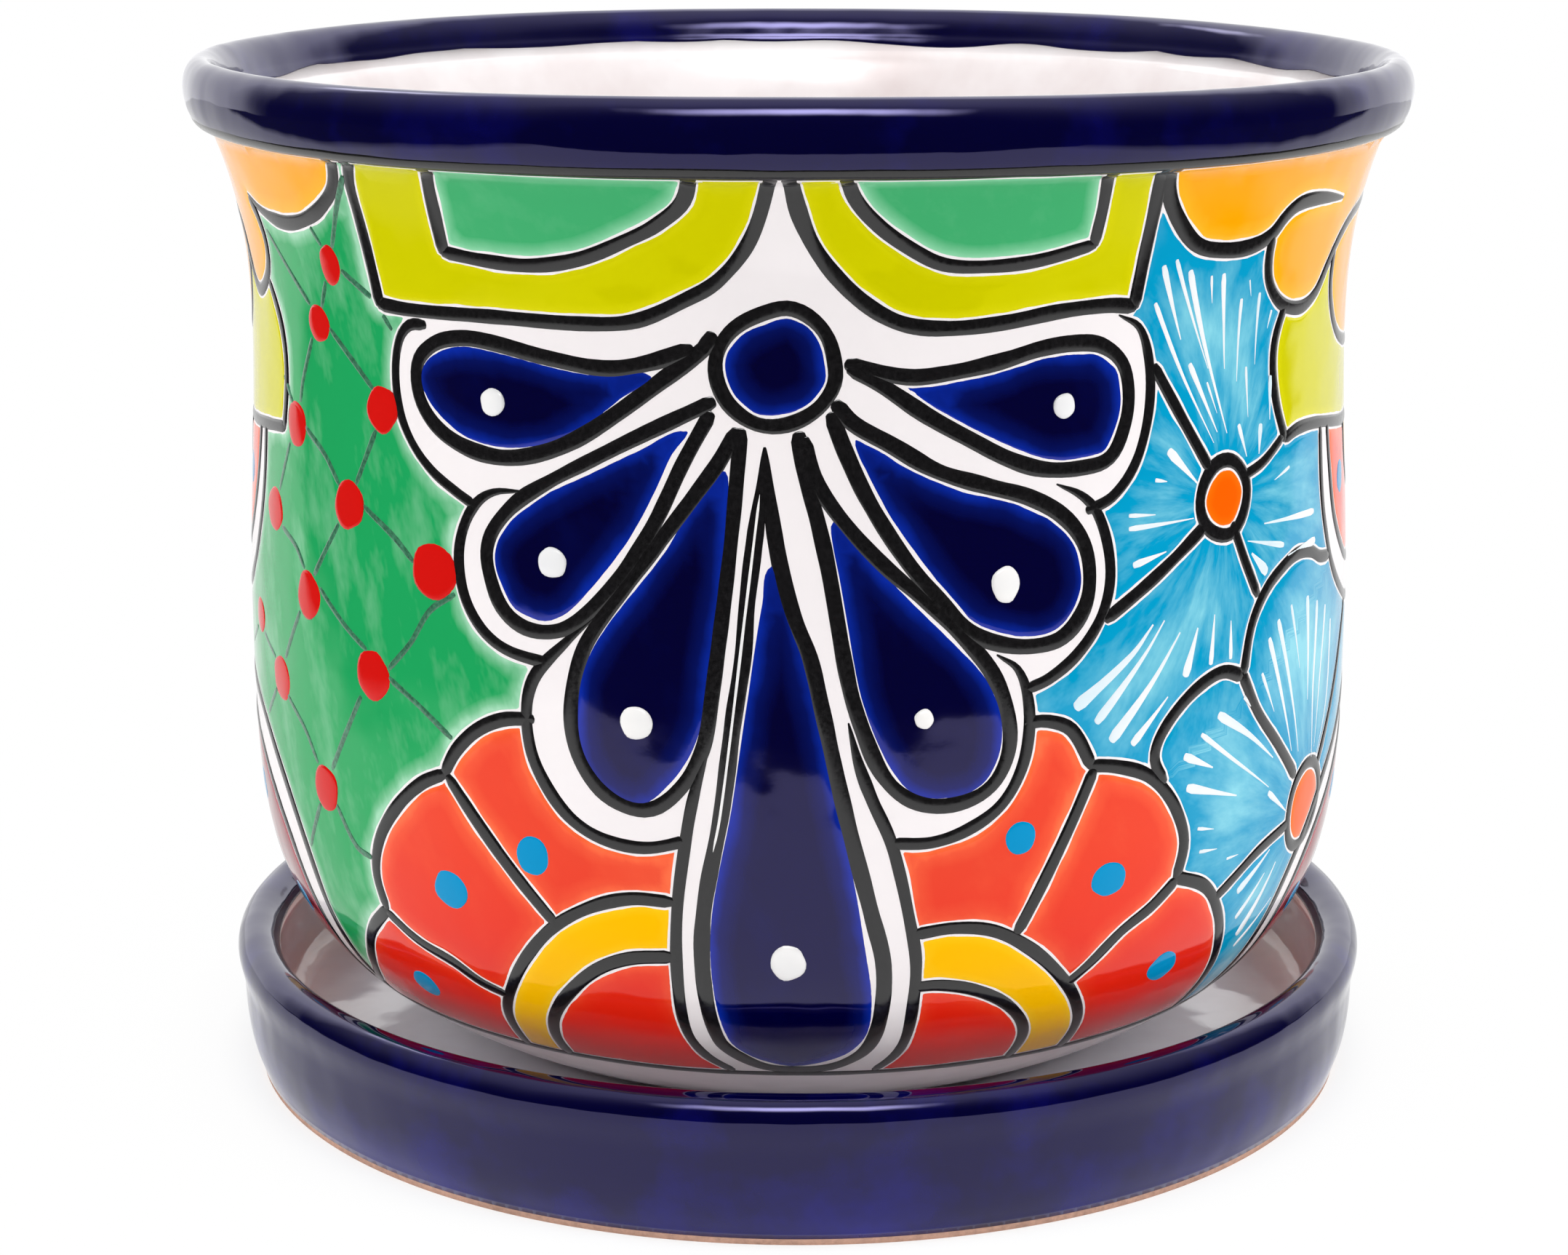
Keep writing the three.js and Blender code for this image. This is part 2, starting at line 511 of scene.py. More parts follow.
def white_glaze(name, base, fleck):
    """Tin-white glaze on clay: soft white, a little warmer where it lies thin"""
    material, tree, shader, where = blank(name)
    cloudy = node(tree, "TexNoise", Vector=where, Scale=per_mm(35), Detail=4.0, Roughness=0.6)
    tint = node(tree, "ValToRGB", [(0.3, fleck), (0.62, base)], Fac=cloudy.outputs["Fac"])
    tree.links.new(tint.outputs["Color"], shader.inputs["Base Color"])
    glaze_skin(tree, shader, where, 0.08)
    return material


def cobalt_glaze(name, deep, bright, foot_mm):
    """Cobalt glaze over clay: near black where it pools, bluer in faint clouds where it is thin.

    It also thins out over the last foot_mm above the table.
    """
    material, tree, shader, where = blank(name)
    cloudy = node(tree, "TexNoise", Vector=where, Scale=per_mm(30), Detail=4.0, Roughness=0.6)
    up = node(tree, "SeparateXYZ", Vector=where).outputs["Z"]
    foot = node(tree, "MapRange", Value=up, in1=0.001, in2=foot_mm * MM, in3=0.22, in4=0.0)
    thin = node(tree, "Math", operation="ADD", in0=cloudy.outputs["Fac"], in1=foot.outputs["Result"])
    tint = node(tree, "ValToRGB", [(0.53, deep), (0.88, bright)], Fac=thin.outputs[0])
    tree.links.new(tint.outputs["Color"], shader.inputs["Base Color"])
    glaze_skin(tree, shader, where, 0.06)
    cobalt_gleam(shader)
    return material


def line_pigment(name, base):
    """Outlining pigment, mostly black: fired on under little glaze, so it is drier and a little gritty"""
    material, tree, shader, where = blank(name)
    grit = node(tree, "TexNoise", Vector=where, Scale=per_mm(0.9), Detail=3.0, Roughness=0.7)
    stops = [(0.35, base), (0.75, shade(base, 2.6))]
    tint = node(tree, "ValToRGB", stops, Fac=grit.outputs["Fac"])
    tree.links.new(tint.outputs["Color"], shader.inputs["Base Color"])
    rough = node(tree, "MapRange", Value=grit.outputs["Fac"], in1=0.3, in2=0.7, in3=0.09, in4=0.22)
    tree.links.new(rough.outputs["Result"], shader.inputs["Roughness"])
    bump = node(tree, "Bump", Height=grit.outputs["Fac"], Distance=0.02 * MM, Strength=0.5)
    tree.links.new(bump.outputs["Normal"], shader.inputs["Normal"])
    shader.inputs["IOR"].default_value = 1.5
    shader.inputs["Specular IOR Level"].default_value = 0.72
    return material


def bare_clay(name, base):
    """Unglazed earthenware: matt, pinkish brown, with dark and pale grit"""
    material, tree, shader, where = blank(name)
    grit = node(tree, "TexNoise", Vector=where, Scale=per_mm(1.6), Detail=6.0, Roughness=0.7)
    cloudy = node(tree, "TexNoise", Vector=where, Scale=per_mm(28), Detail=3.0)
    mixed = node(
        tree, "Math", operation="MULTIPLY_ADD", in0=cloudy.outputs["Fac"], in1=0.5,
        in2=grit.outputs["Fac"],
    )
    stops = [(0.5, shade(base, 0.72)), (0.75, base), (0.95, shade(base, 1.2))]
    tint = node(tree, "ValToRGB", stops, Fac=mixed.outputs[0])
    tree.links.new(tint.outputs["Color"], shader.inputs["Base Color"])
    shader.inputs["Roughness"].default_value = 0.85
    bump = node(tree, "Bump", Height=grit.outputs["Fac"], Distance=0.15 * MM, Strength=0.6)
    tree.links.new(bump.outputs["Normal"], shader.inputs["Normal"])
    return material


# The painting, drawn flat

Stroke = namedtuple("Stroke", "width ends points")

# How a stroke ends, at its start and at its end: "o" is round, "v" is drawn out to a point, and a "w" end
# makes the whole stroke a wedge. A "ring" meets itself, and a "flat" stroke meets its own repeat.
# The lists called MIDDLES, BANDS, CELLS and the like hold one place inside each cell that gets paint.
# Dots are x, y, half their width and half their height.
FAN = [
    Stroke(2.9, "ring", [
        (6.7, 183), (4.6, 189.8), (-1, 194), (-7, 193), (-12.6, 189.6), (-15.4, 184), (-13.8, 177.6),
        (-9, 173.4), (-3.5, 172.6), (2.4, 174.9), (6, 179),
    ]),
    Stroke(3.3, "oo", [
        (-20, 186.3), (-28, 183.6), (-36, 182.2), (-48, 183.5), (-60, 185.5), (-67, 185.8),
        (-74, 184), (-78.5, 179.5), (-77.5, 172.5), (-71, 166.9), (-60, 164.2), (-50, 165.6),
        (-40, 170.2), (-24, 181.5), (-17.5, 186.5), (-16, 189),
    ]),
    Stroke(3.0, "oo", [
        (-16, 176.8), (-30, 170), (-40, 164.8), (-48, 160.5), (-55, 156), (-60, 150.5),
        (-61.5, 146), (-60.5, 141), (-58, 136), (-54, 133), (-49, 132.2), (-44, 133.5),
        (-39, 137.5), (-33, 144.5), (-27, 154), (-21.5, 165.5), (-16.5, 174.5),
    ]),
    Stroke(3.0, "oo", [
        (-11.5, 171.5), (-16, 164), (-28, 148), (-39.5, 132), (-42.5, 124), (-43.3, 116),
        (-42, 109.5), (-38.5, 104), (-34, 100.8), (-29, 99.8), (-25, 101.5), (-20.5, 106.5),
        (-17.5, 113), (-16.2, 121), (-13, 147), (-11.2, 166), (-10.8, 171.5),
    ]),
    Stroke(3.2, "vv", [
        (-6.4, 168), (-7, 161), (-9.5, 140), (-10.2, 130), (-12, 118), (-14.3, 100), (-17.9, 80),
        (-18.4, 65), (-16.5, 50), (-12.8, 44.5), (-7, 40), (0, 39), (7, 40), (12.8, 44.5),
        (15.5, 50), (16.7, 60), (16.3, 70), (13.8, 80), (8.7, 100), (4.3, 120), (2, 130),
        (-0.8, 137), (-3, 145), (-4.8, 155), (-6.2, 168),
    ]),
    Stroke(3.2, "oo", [
        (9, 183.8), (20, 181.3), (28, 181.8), (38, 183.5), (46, 185.4), (53, 186), (59, 185.2),
        (64, 181.5), (65.7, 176), (65, 170), (61.5, 164), (55, 162.6), (47, 163), (40, 165.3),
        (32, 169.5), (24, 174), (15, 180), (9.5, 183),
    ]),
    Stroke(3.2, "oo", [
        (6.8, 176.5), (10, 173), (17, 169), (26, 163.8), (36, 160.5), (44, 158), (51, 154),
        (55.5, 148.5), (56.8, 142), (55.5, 136), (51, 131.2), (45, 130), (38, 131), (32, 133.8),
        (27, 139), (20, 147.5), (13, 158.5), (8.5, 168), (6, 174.5),
    ]),
    Stroke(3.0, "oo", [
        (0.8, 170), (3.5, 162), (9, 154), (16, 146.5), (24, 139.5), (31, 132.5), (36.5, 125.5),
        (39.5, 118), (40, 111), (37.5, 105), (33, 101.8), (26, 100.8), (20, 102.8), (15.5, 107.5),
        (12, 115.5), (9.3, 124.5), (5.5, 146), (3.5, 155), (0.8, 165), (0, 171),
    ]),
    Stroke(2.2, "oo", [
        (-76, 187.5), (-80, 187), (-83, 184), (-84.5, 177.5), (-83.3, 170), (-80, 164.5),
        (-75, 160), (-69, 156.7), (-64.5, 154.6),
    ]),
    Stroke(2.5, "vo", [
        (-54.5, 158.2), (-60, 157.5), (-64, 155), (-67, 150), (-68, 144), (-66.5, 137),
        (-62.5, 131.3), (-57, 128), (-48, 126.3),
    ]),
    Stroke(2.6, "vo", [
        (-39.2, 135.3), (-44, 131), (-50.5, 124), (-52.5, 118), (-52, 110), (-49.5, 104),
        (-45, 98), (-40, 94.5), (-34, 92.7), (-28, 92.5), (-21, 94.3),
    ]),
    Stroke(2.5, "vo", [
        (-16.5, 114), (-19.5, 103), (-21, 95), (-23, 80), (-23.6, 65), (-23, 52), (-20, 44), (-15, 38),
    ]),
    Stroke(2.3, "vo", [
        (63, 190.4), (67.5, 188), (70, 183), (71, 176), (70, 168.5), (67, 161.5), (62, 156.5),
        (56.5, 154.5),
    ]),
    Stroke(2.4, "vo", [
        (50.2, 159.8), (55, 157.5), (58.5, 154), (61, 147), (61.3, 140), (59, 133.5), (54, 127.5),
        (48, 123.5), (43.5, 122),
    ]),
    Stroke(2.6, "vo", [
        (37.8, 128.7), (41.5, 126), (43.5, 121), (44, 114), (42.5, 106.5), (38.5, 100), (32, 95.8),
        (25, 93.8), (17.5, 94),
    ]),
    Stroke(2.5, "vo", [
        (9.3, 117), (11, 110), (13.5, 103), (17, 95), (19, 88), (21, 79), (22.7, 70), (22.9, 60),
        (22.5, 50), (21, 44), (17.5, 38),
    ]),
]
# The blue of each petal stops short of its outline where the petal narrows
FAN_PETALS = [
    [
        (-27.5, 181.3), (-40, 181), (-60, 183.9), (-68, 184.2), (-75, 181.5), (-77.8, 177.5),
        (-76, 173.5), (-72, 170), (-66, 167), (-57, 166), (-48, 167.7), (-40, 171.7), (-33, 177),
    ],
    [
        (-20.8, 171.5), (-30, 167.5), (-40, 162.5), (-50, 157.5), (-56, 152.8), (-60, 146.5),
        (-59.3, 141), (-57, 137), (-50, 134.2), (-46, 135), (-42, 138), (-33, 149), (-28, 157.5),
        (-23.5, 167),
    ],
    [
        (-13.5, 164.2), (-12.9, 162), (-13.6, 150), (-16.3, 128), (-17.5, 118), (-20.5, 110),
        (-25, 104), (-29.5, 100.6), (-34, 101.2), (-38.8, 105), (-41.8, 111), (-42, 118),
        (-40.7, 126), (-36.5, 134), (-25, 149), (-19.5, 158.5), (-15, 164),
    ],
    [
        (-5, 147), (-6.8, 140), (-9.8, 120), (-12.7, 100), (-16.4, 80), (-16.8, 65), (-14.5, 50),
        (-10.2, 44.5), (-4, 41), (0, 40.5), (6, 42.5), (11, 46), (14.2, 52), (14.6, 61), (13, 72),
        (10.2, 88), (6.5, 104), (3.4, 119), (0, 134), (-2.6, 142),
    ],
    [
        (18.8, 179.2), (25, 179.7), (33, 180.9), (42, 182.9), (50, 184.3), (57, 184), (62, 181.5),
        (64.2, 177.5), (64, 172), (61.5, 166), (55, 164.2), (48, 164.7), (42, 166.8), (34, 170.6),
        (26, 175),
    ],
    [
        (11, 171), (14, 170), (20, 165.5), (27, 161.7), (35, 159), (42, 156.8), (48.5, 154),
        (53, 150), (55.2, 144.5), (54.5, 138), (51, 133.6), (46, 131.5), (39, 132.5), (33, 135.3),
        (29, 139.3), (18, 154), (13.5, 162), (10.3, 169),
    ],
    [
        (6.3, 155.2), (8, 154.3), (18, 143), (30, 130.7), (35, 125), (38, 118.5), (38.5, 112),
        (36.3, 106), (32.5, 103), (26, 102.2), (21, 103.7), (17, 108.5), (13.5, 116), (11, 124),
        (7.5, 144), (5.8, 153),
    ],
]
FAN_MIDDLES = [
    (-4.6, 183), (-60, 175), (-47, 146), (-30, 115), (-1, 80), (51, 175), (40, 142), (24, 118),
]
FAN_DOTS = [
    (-60.2, 174.4, 2.7, 2.7), (-47.1, 145.5, 2.9, 2.9), (-30.4, 116.6, 3.1, 3.1),
    (-1.9, 70.1, 3.4, 3.8), (51.2, 174.5, 2.3, 2.3), (39.1, 142.1, 2.8, 3.5), (23.3, 117.8, 1.9, 1.9),
]
FAN_SCRATCH = [
    Stroke(0.6, "vv", [(-7.2, 160), (-9.7, 139), (-12.2, 117.5), (-14.6, 99), (-16, 92)]),
]

DRAPES = [
    Stroke(3.0, "oo", [(-86.5, 221.5), (-89.6, 214), (-89.8, 207), (-89.2, 199), (-88, 190.3)]),
    Stroke(2.8, "oo", [
        (-88, 190.3), (-80, 190), (-60, 190.4), (-40, 190.3), (-30, 191.3), (-20, 195.8),
        (-15, 198.8), (-10, 204.5), (-7, 211), (-4.5, 221.5),
    ]),
    Stroke(3.0, "oo", [(-68, 221.5), (-69.3, 215), (-69.5, 208), (-69.2, 202)]),
    Stroke(2.8, "oo", [
        (-69.2, 202), (-60, 201), (-50, 200.7), (-40, 202.5), (-30, 206.8), (-25, 209.6),
        (-20, 214.3), (-18.3, 221.5),
    ]),
    Stroke(3.0, "oo", [
        (-2, 221.5), (0, 212), (3, 205), (8, 198.5), (14, 193.5), (20, 190.8), (28, 190),
        (38, 190.6), (50, 192.2), (60, 192.6), (66, 192),
    ]),
    Stroke(3.0, "oo", [(66, 192), (66.8, 200), (67.2, 210), (66.3, 221.5)]),
    Stroke(2.7, "oo", [
        (7.5, 221.5), (9.5, 215), (14, 209.5), (20, 205), (26, 202), (34, 201.3), (44, 202),
        (55.3, 204.5),
    ]),
    Stroke(2.7, "oo", [(55.3, 204.5), (55.7, 212), (55, 221.5)]),
]
DRAPE_BANDS = [(-80, 205), (60, 198)]
DRAPE_OVALS = [(-45, 210), (35, 209)]

WHEELS = [
    Stroke(3.0, "ring", [(98.8, 153), (95, 159), (88.5, 159.2), (84.3, 153), (87, 147), (94.5, 145.8)]),
    Stroke(2.6, "oo", [(87, 159), (80, 168.5), (71.8, 180)]),
    Stroke(2.4, "oo", [(98, 156), (105, 157.8), (112.5, 161.5)]),
    Stroke(2.8, "oo", [(85.5, 148), (73, 140.5), (60.5, 133.5)]),
    Stroke(2.6, "oo", [(94, 147), (98, 139), (102, 132)]),
    Stroke(2.8, "oo", [
        (137, 133), (131, 134), (126, 136), (119, 137), (112, 135.5), (105, 132), (100, 126),
        (97.5, 117),
    ]),
    Stroke(2.8, "oo", [
        (97, 116.6), (91, 118.5), (85, 117.3), (79, 114), (74, 109), (72.5, 104.5), (75, 99.5),
    ]),
    Stroke(2.6, "ring", [
        (136.6, 83), (133.5, 89.5), (127, 91.6), (121, 89), (118.6, 83), (120.4, 77), (126, 74.2),
        (133, 76.5),
    ]),
    Stroke(2.8, "oo", [(97, 117), (103, 108), (112, 99), (120, 91)]),
    Stroke(2.6, "oo", [(119, 81), (106, 78), (93, 71.5)]),
    Stroke(2.4, "oo", [(134, 90), (146, 104), (157, 119)]),
]
SKY_CELLS = [
    (95, 185), (72, 155), (85, 130), (115, 150), (118, 112), (95, 95), (110, 66), (152, 100),
]
WHEEL_DISCS = [(91.5, 152.5), (127.5, 82.5)]

SIDES = [
    Stroke(3.3, "ov", [
        (68, 221.5), (69.5, 214), (74, 207.5), (80, 202.5), (88, 200.8), (96, 200.8), (102, 202.5),
        (106, 206), (110, 207.8), (118, 208), (132, 206.6),
    ]),
    Stroke(3.0, "vo", [
        (231, 206.3), (235.6, 204.5), (243.6, 203), (251.6, 203), (259.6, 204.8), (266.6, 208),
        (272.6, 213), (276, 221.5),
    ]),
    Stroke(2.9, "oo", [
        (102.5, 202), (102.8, 197), (104.5, 192.5), (109, 188.5), (115, 186.5), (121, 186.3),
        (127, 188.5), (132, 193), (136, 196.5), (142, 200), (150, 202), (176, 203.5), (192, 202.8),
        (204, 201), (212, 197.5), (215.5, 193), (219.5, 188.3), (224.6, 186.3), (230.6, 188.5),
        (234.6, 192.5), (235.6, 197.5), (233.6, 202.5), (231, 205.5),
    ]),
    Stroke(2.6, "oo", [
        (135.5, 195.5), (136.5, 188), (141, 181), (148, 176.5), (160, 173.8), (176, 172.6),
        (192, 173.8), (203, 177), (209.5, 182), (213.5, 189), (214.5, 194.5),
    ]),
    Stroke(2.9, "oo", [(111.5, 187.3), (108.5, 181), (108.2, 175), (110, 168), (113.5, 161)]),
    Stroke(2.6, "oo", [
        (113.5, 161), (120, 162), (130, 161.5), (155, 158), (176, 156.8), (197, 157.2),
        (217.6, 158.5), (240.1, 160.8),
    ]),
    Stroke(2.6, "oo", [(240.1, 160.8), (241.6, 170), (241.1, 177), (238.6, 183), (234, 189)]),
    Stroke(2.5, "oo", [
        (132.5, 160), (133, 148), (135, 140), (140, 131), (148, 124.5), (160, 119.5), (176, 117.3),
        (192, 118.6), (206, 122.6), (216, 129), (222.5, 138), (225.8, 148), (226.6, 159),
    ]),
    Stroke(2.5, "oo", [
        (137.5, 160), (140, 148), (143, 140), (150, 133), (160, 128), (176, 126), (192, 127.4),
        (204, 131.6), (213, 138.4), (219, 148), (221.6, 158.5),
    ]),
    Stroke(2.4, "oo", [
        (158, 157), (161, 148), (169, 142), (180, 140), (191, 142), (198.5, 148), (201, 157),
    ]),
    Stroke(2.5, "oo", [(180, 117.5), (184, 105)]),
    Stroke(2.8, "oo", [
        (114.5, 37), (117.5, 50), (119.5, 59), (124, 69), (131, 77.5), (139, 85), (149, 91),
        (160, 97), (172, 102), (184, 104.5), (197, 103.8), (210.6, 101), (219.6, 98.6),
        (229.6, 93), (239.6, 84), (246.6, 73), (249.6, 61), (251, 50), (252, 37),
    ]),
    Stroke(2.8, "oo", [
        (123, 37), (125, 50), (127.5, 60), (132, 68), (138, 74.5), (147, 81), (158, 87.5),
        (172, 93), (184, 95.3), (197, 94.6), (209, 92), (219, 88), (229, 81), (236.5, 73),
        (241, 62), (243, 50), (244, 37),
    ]),
    Stroke(2.8, "oo", [
        (150, 37), (151, 52), (158, 64), (170, 72), (184, 74.5), (198, 72), (210, 64), (217, 52),
        (218, 37),
    ]),
    Stroke(2.8, "oo", [(161, 37), (163, 49), (172, 59), (184, 62.5), (196, 59), (205, 49), (207, 37)]),
]
SIDE_ORANGE = [(90, 212), (176, 188)]
SIDE_BLOCKS = [(120, 172)]
SIDE_TOMATO = [(176, 133), (184, 50)]
SIDE_YELLOW = [(180, 150), (184, 68)]
SIDE_MAROON = [(184, 85)]
SIDE_DOTS = [
    (150, 147, 3.6, 3.6), (180, 133, 3.4, 3.2), (208, 147, 3.6, 3.6), (139, 58, 3.8, 3.8),
    (184, 84.5, 4.0, 3.6), (229, 58, 3.8, 3.8), (158, 78.5, 3.6, 3.6), (211, 79, 3.6, 3.6),
]

LOW_FLOWERS = [
    Stroke(2.8, "oo", [(-51.5, 115.3), (-58, 114.3), (-64, 111.3), (-69, 106.5), (-72, 101.5)]),
    Stroke(2.8, "oo", [
        (-72, 101.5), (-78, 98.5), (-85, 92.5), (-91, 84.5), (-93.3, 77), (-92, 69.5),
    ]),
    Stroke(2.8, "oo", [(-92, 69), (-100, 62), (-106, 54), (-112, 46), (-120, 40.5), (-129, 37)]),
    Stroke(2.6, "oo", [(-71, 101), (-65, 94), (-58, 86), (-48, 75)]),
    Stroke(2.6, "oo", [(-92, 68.5), (-84, 64), (-75, 61), (-69, 57.5), (-63, 55.5)]),
    Stroke(2.7, "oo", [
        (-24, 82), (-32, 82), (-40, 79.5), (-48, 74.5), (-55, 67), (-61, 58), (-65, 50), (-67, 37),
    ]),
    Stroke(3.0, "oo", [
        (-24.5, 70.5), (-33, 69.3), (-40, 66), (-47, 59.5), (-52.5, 52), (-55, 45), (-55.5, 37),
    ]),
    Stroke(2.8, "oo", [(43.5, 115.5), (48, 115.3), (53, 113), (57.5, 105.5)]),
    Stroke(2.8, "oo", [
        (57.5, 105.5), (63, 104.5), (70, 102), (75, 98), (79, 92.5), (81.3, 86), (80, 79),
    ]),
    Stroke(2.8, "oo", [(80, 79), (89, 75), (95, 68), (99, 60), (101.5, 52), (103.5, 37)]),
    Stroke(2.6, "oo", [(58, 104.5), (54, 96), (49, 86), (43, 74)]),
    Stroke(2.6, "oo", [(80, 78.5), (74, 74), (67, 70), (60, 63.5), (56, 60)]),
    Stroke(2.7, "oo", [
        (22.3, 75.5), (30, 76.2), (38, 74.8), (46, 70), (53, 63.5), (59, 56), (63, 48), (64.7, 37),
    ]),
    Stroke(2.8, "oo", [
        (22.5, 63.8), (28, 63.8), (35, 62), (42, 58), (47.5, 52), (50, 46), (50.3, 37),
    ]),
]
LOW_TOMATO = [
    (-58, 100), (-78, 82), (-85, 48), (-38, 50), (46, 95), (66, 90), (88, 48), (33, 50),
]
LOW_YELLOW = [(-52, 61), (50, 56)]
LOW_DOTS = [
    (-52, 88.3, 3.6, 3.9), (-71.8, 78, 4.2, 3.9), (-87.7, 51.8, 4, 3.4), (42.6, 93.2, 3.1, 3.3),
    (62.4, 82, 4.1, 3.5), (81.4, 58.4, 4.1, 3.6),
]

LATTICE_CELLS = [(-100, 140)]
LATTICE = [
    [(-107, 203), (-104.5, 200)], [(-91, 215), (-96, 208), (-100.5, 200)],
    [(-129, 200), (-120, 193), (-112.5, 187.5)], [(-98.5, 195.5), (-90.5, 191.5)],
    [(-87, 188), (-85, 185.8)], [(-105, 192.5), (-107.5, 187.5)],
    [(-105, 183.5), (-97, 178), (-91, 173.5)], [(-112.5, 180.5), (-117, 172), (-118.5, 167.5)],
    [(-116, 162.5), (-108, 158.5), (-102.5, 153.5)], [(-124, 158), (-129.5, 148)],
    [(-90.5, 165.5), (-96.5, 154.5)], [(-94, 150.5), (-85, 146), (-79.5, 142)],
    [(-102.5, 145.5), (-111.5, 134)], [(-127.5, 140.5), (-120, 138), (-116, 134.5)],
    [(-109, 131.5), (-100, 126), (-93, 122.5)], [(-69, 137), (-75, 133), (-80, 126), (-86, 120)],
    [(-118, 125), (-126, 114)], [(-141, 115.5), (-133, 112.5)],
    [(-86, 118), (-78, 114), (-70, 109)], [(-95, 112.5), (-106, 95.5)],
    [(-125.5, 106), (-117, 101), (-112, 95.5)], [(-133, 105.5), (-140, 99)],
    [(-112, 86.5), (-119, 76)], [(-105, 88), (-99, 81), (-94.5, 79.8)],
    [(-149, 115), (-158, 110)], [(-122, 166), (-127, 171)],
]
BERRIES = [
    (-102.3, 196.3, 3.5, 4), (-109.3, 184, 4.3, 3.7), (-88.5, 170, 4.6, 4.6),
    (-120.5, 162.5, 4.6, 4.6), (-99, 150, 5, 5), (-74, 140.7, 5.6, 5.6), (-132.5, 143.3, 5, 4.5),
    (-114, 129.3, 4.9, 4.9), (-91, 117.6, 5, 5), (-144.5, 118.4, 4, 3.8), (-129, 109, 5, 4.6),
    (-109, 90.7, 4.7, 4.7),
]

# White strokes of a comb-like brush, round the wheel flowers: each has a width and the points from
# where the brush came down to where it lifted
COMBS = [
    (1.8, (72, 199), (78, 185)),
    (1.2, (75, 200), (86, 178.5)),
    (1.8, (79, 197.5), (85, 182.5), (92, 165.5)),
    (1.0, (85, 196), (86, 191)),
    (1.6, (88.5, 196), (90, 187), (91, 178)),
    (1.2, (95, 190.5), (95, 175)),
    (0.7, (97, 194), (98, 191)),
    (1.2, (101, 191), (101, 177.5)),
    (1.2, (106, 187), (105, 184)),
    (1.0, (98, 177), (99, 167.5)),
    (1.6, (107, 174), (107, 166)),
    (1.3, (71, 192), (79.5, 177), (88, 164)),
    (1.6, (81, 179.5), (89, 166)),
    (1.6, (96, 166), (98.5, 160)),
    (2.0, (103.5, 165), (103, 160)),
    (0.8, (86, 175.5), (89, 169.5)),
    (2.6, (76, 163.5), (83, 157)),
    (1.2, (72.5, 158.5), (75, 158)),
    (1.2, (66, 152.5), (72, 152)),
    (1.3, (66, 150), (82, 150)),
    (1.8, (67, 143), (74.5, 144.5)),
    (1.8, (127, 144), (105, 145.5)),
    (1.6, (112, 140), (99, 143)),
    (1.0, (115, 155), (109, 153.5)),
    (2.0, (127.5, 138), (114.5, 137.5)),
    (3.0, (105, 136), (100.5, 140)),
    (3.0, (54, 117.5), (66.5, 126), (71, 130.5)),
    (2.2, (58.5, 114), (69.5, 125.5), (74, 131)),
    (2.6, (62, 110), (71.5, 120), (78, 128)),
    (2.2, (67, 108.5), (75, 116)),
    (2.8, (80, 120), (83, 128)),
    (1.8, (87, 121), (88, 130)),
    (1.6, (93, 121), (93, 128)),
    (1.2, (104, 115.5), (109, 107)),
    (1.8, (106.5, 122), (113, 107.5), (117.5, 97)),
    (1.8, (110, 125), (118, 105), (121, 96)),
    (1.2, (115.5, 127), (120, 113.5)),
    (2.0, (123.5, 127), (125, 106)),
    (1.6, (129, 125), (128, 107), (129, 92.5)),
    (1.2, (134.5, 123), (132, 107.5), (130.5, 94.5)),
    (1.2, (139, 119), (138, 103), (132, 91.5)),
    (2.2, (90, 110), (100, 104), (109, 97.5)),
    (1.4, (85, 107), (95, 100), (108, 91.5)),
    (2.2, (80.5, 103.5), (88, 100)),
    (2.2, (81.5, 97), (96, 92.5)),
    (1.6, (108.5, 90), (117, 84)),
    (1.0, (85, 88), (89.5, 87)),
    (1.0, (86, 83), (91, 82.5)),
    (1.4, (98, 112), (100, 110)),
    (1.0, (95, 79.5), (98.5, 79.5)),
    (2.2, (101, 71), (111, 77)),
    (2.0, (103, 64.5), (110.5, 72)),
    (2.6, (106.5, 59.5), (115, 73)),
    (1.6, (108, 56), (117.5, 64.5)),
]


def smooth_line(points, ring=False):
    """A smooth line through drawn points, with a point about every BRUSH_STEP"""
    knots = [Vector((*point, 0)) for point in points]
    count = len(knots)
    line = []
    for i in range(count if ring else count - 1):
        a, b = knots[i], knots[(i + 1) % count]
        before = knots[i - 1] if ring or i else a
        after = knots[(i + 2) % count] if ring or i + 2 < count else b
        reach = (b - a).length / 3
        out = a + (b - before).normalized() * reach
        back = b - (after - a).normalized() * reach
        steps = max(2, round(3 * reach / BRUSH_STEP))
        line += [tuple(p)[:2] for p in interpolate_bezier(a, out, back, b, steps + 1)[:-1]]
    if not ring:
        line.append(tuple(points[-1]))
    return np.array(line, float)


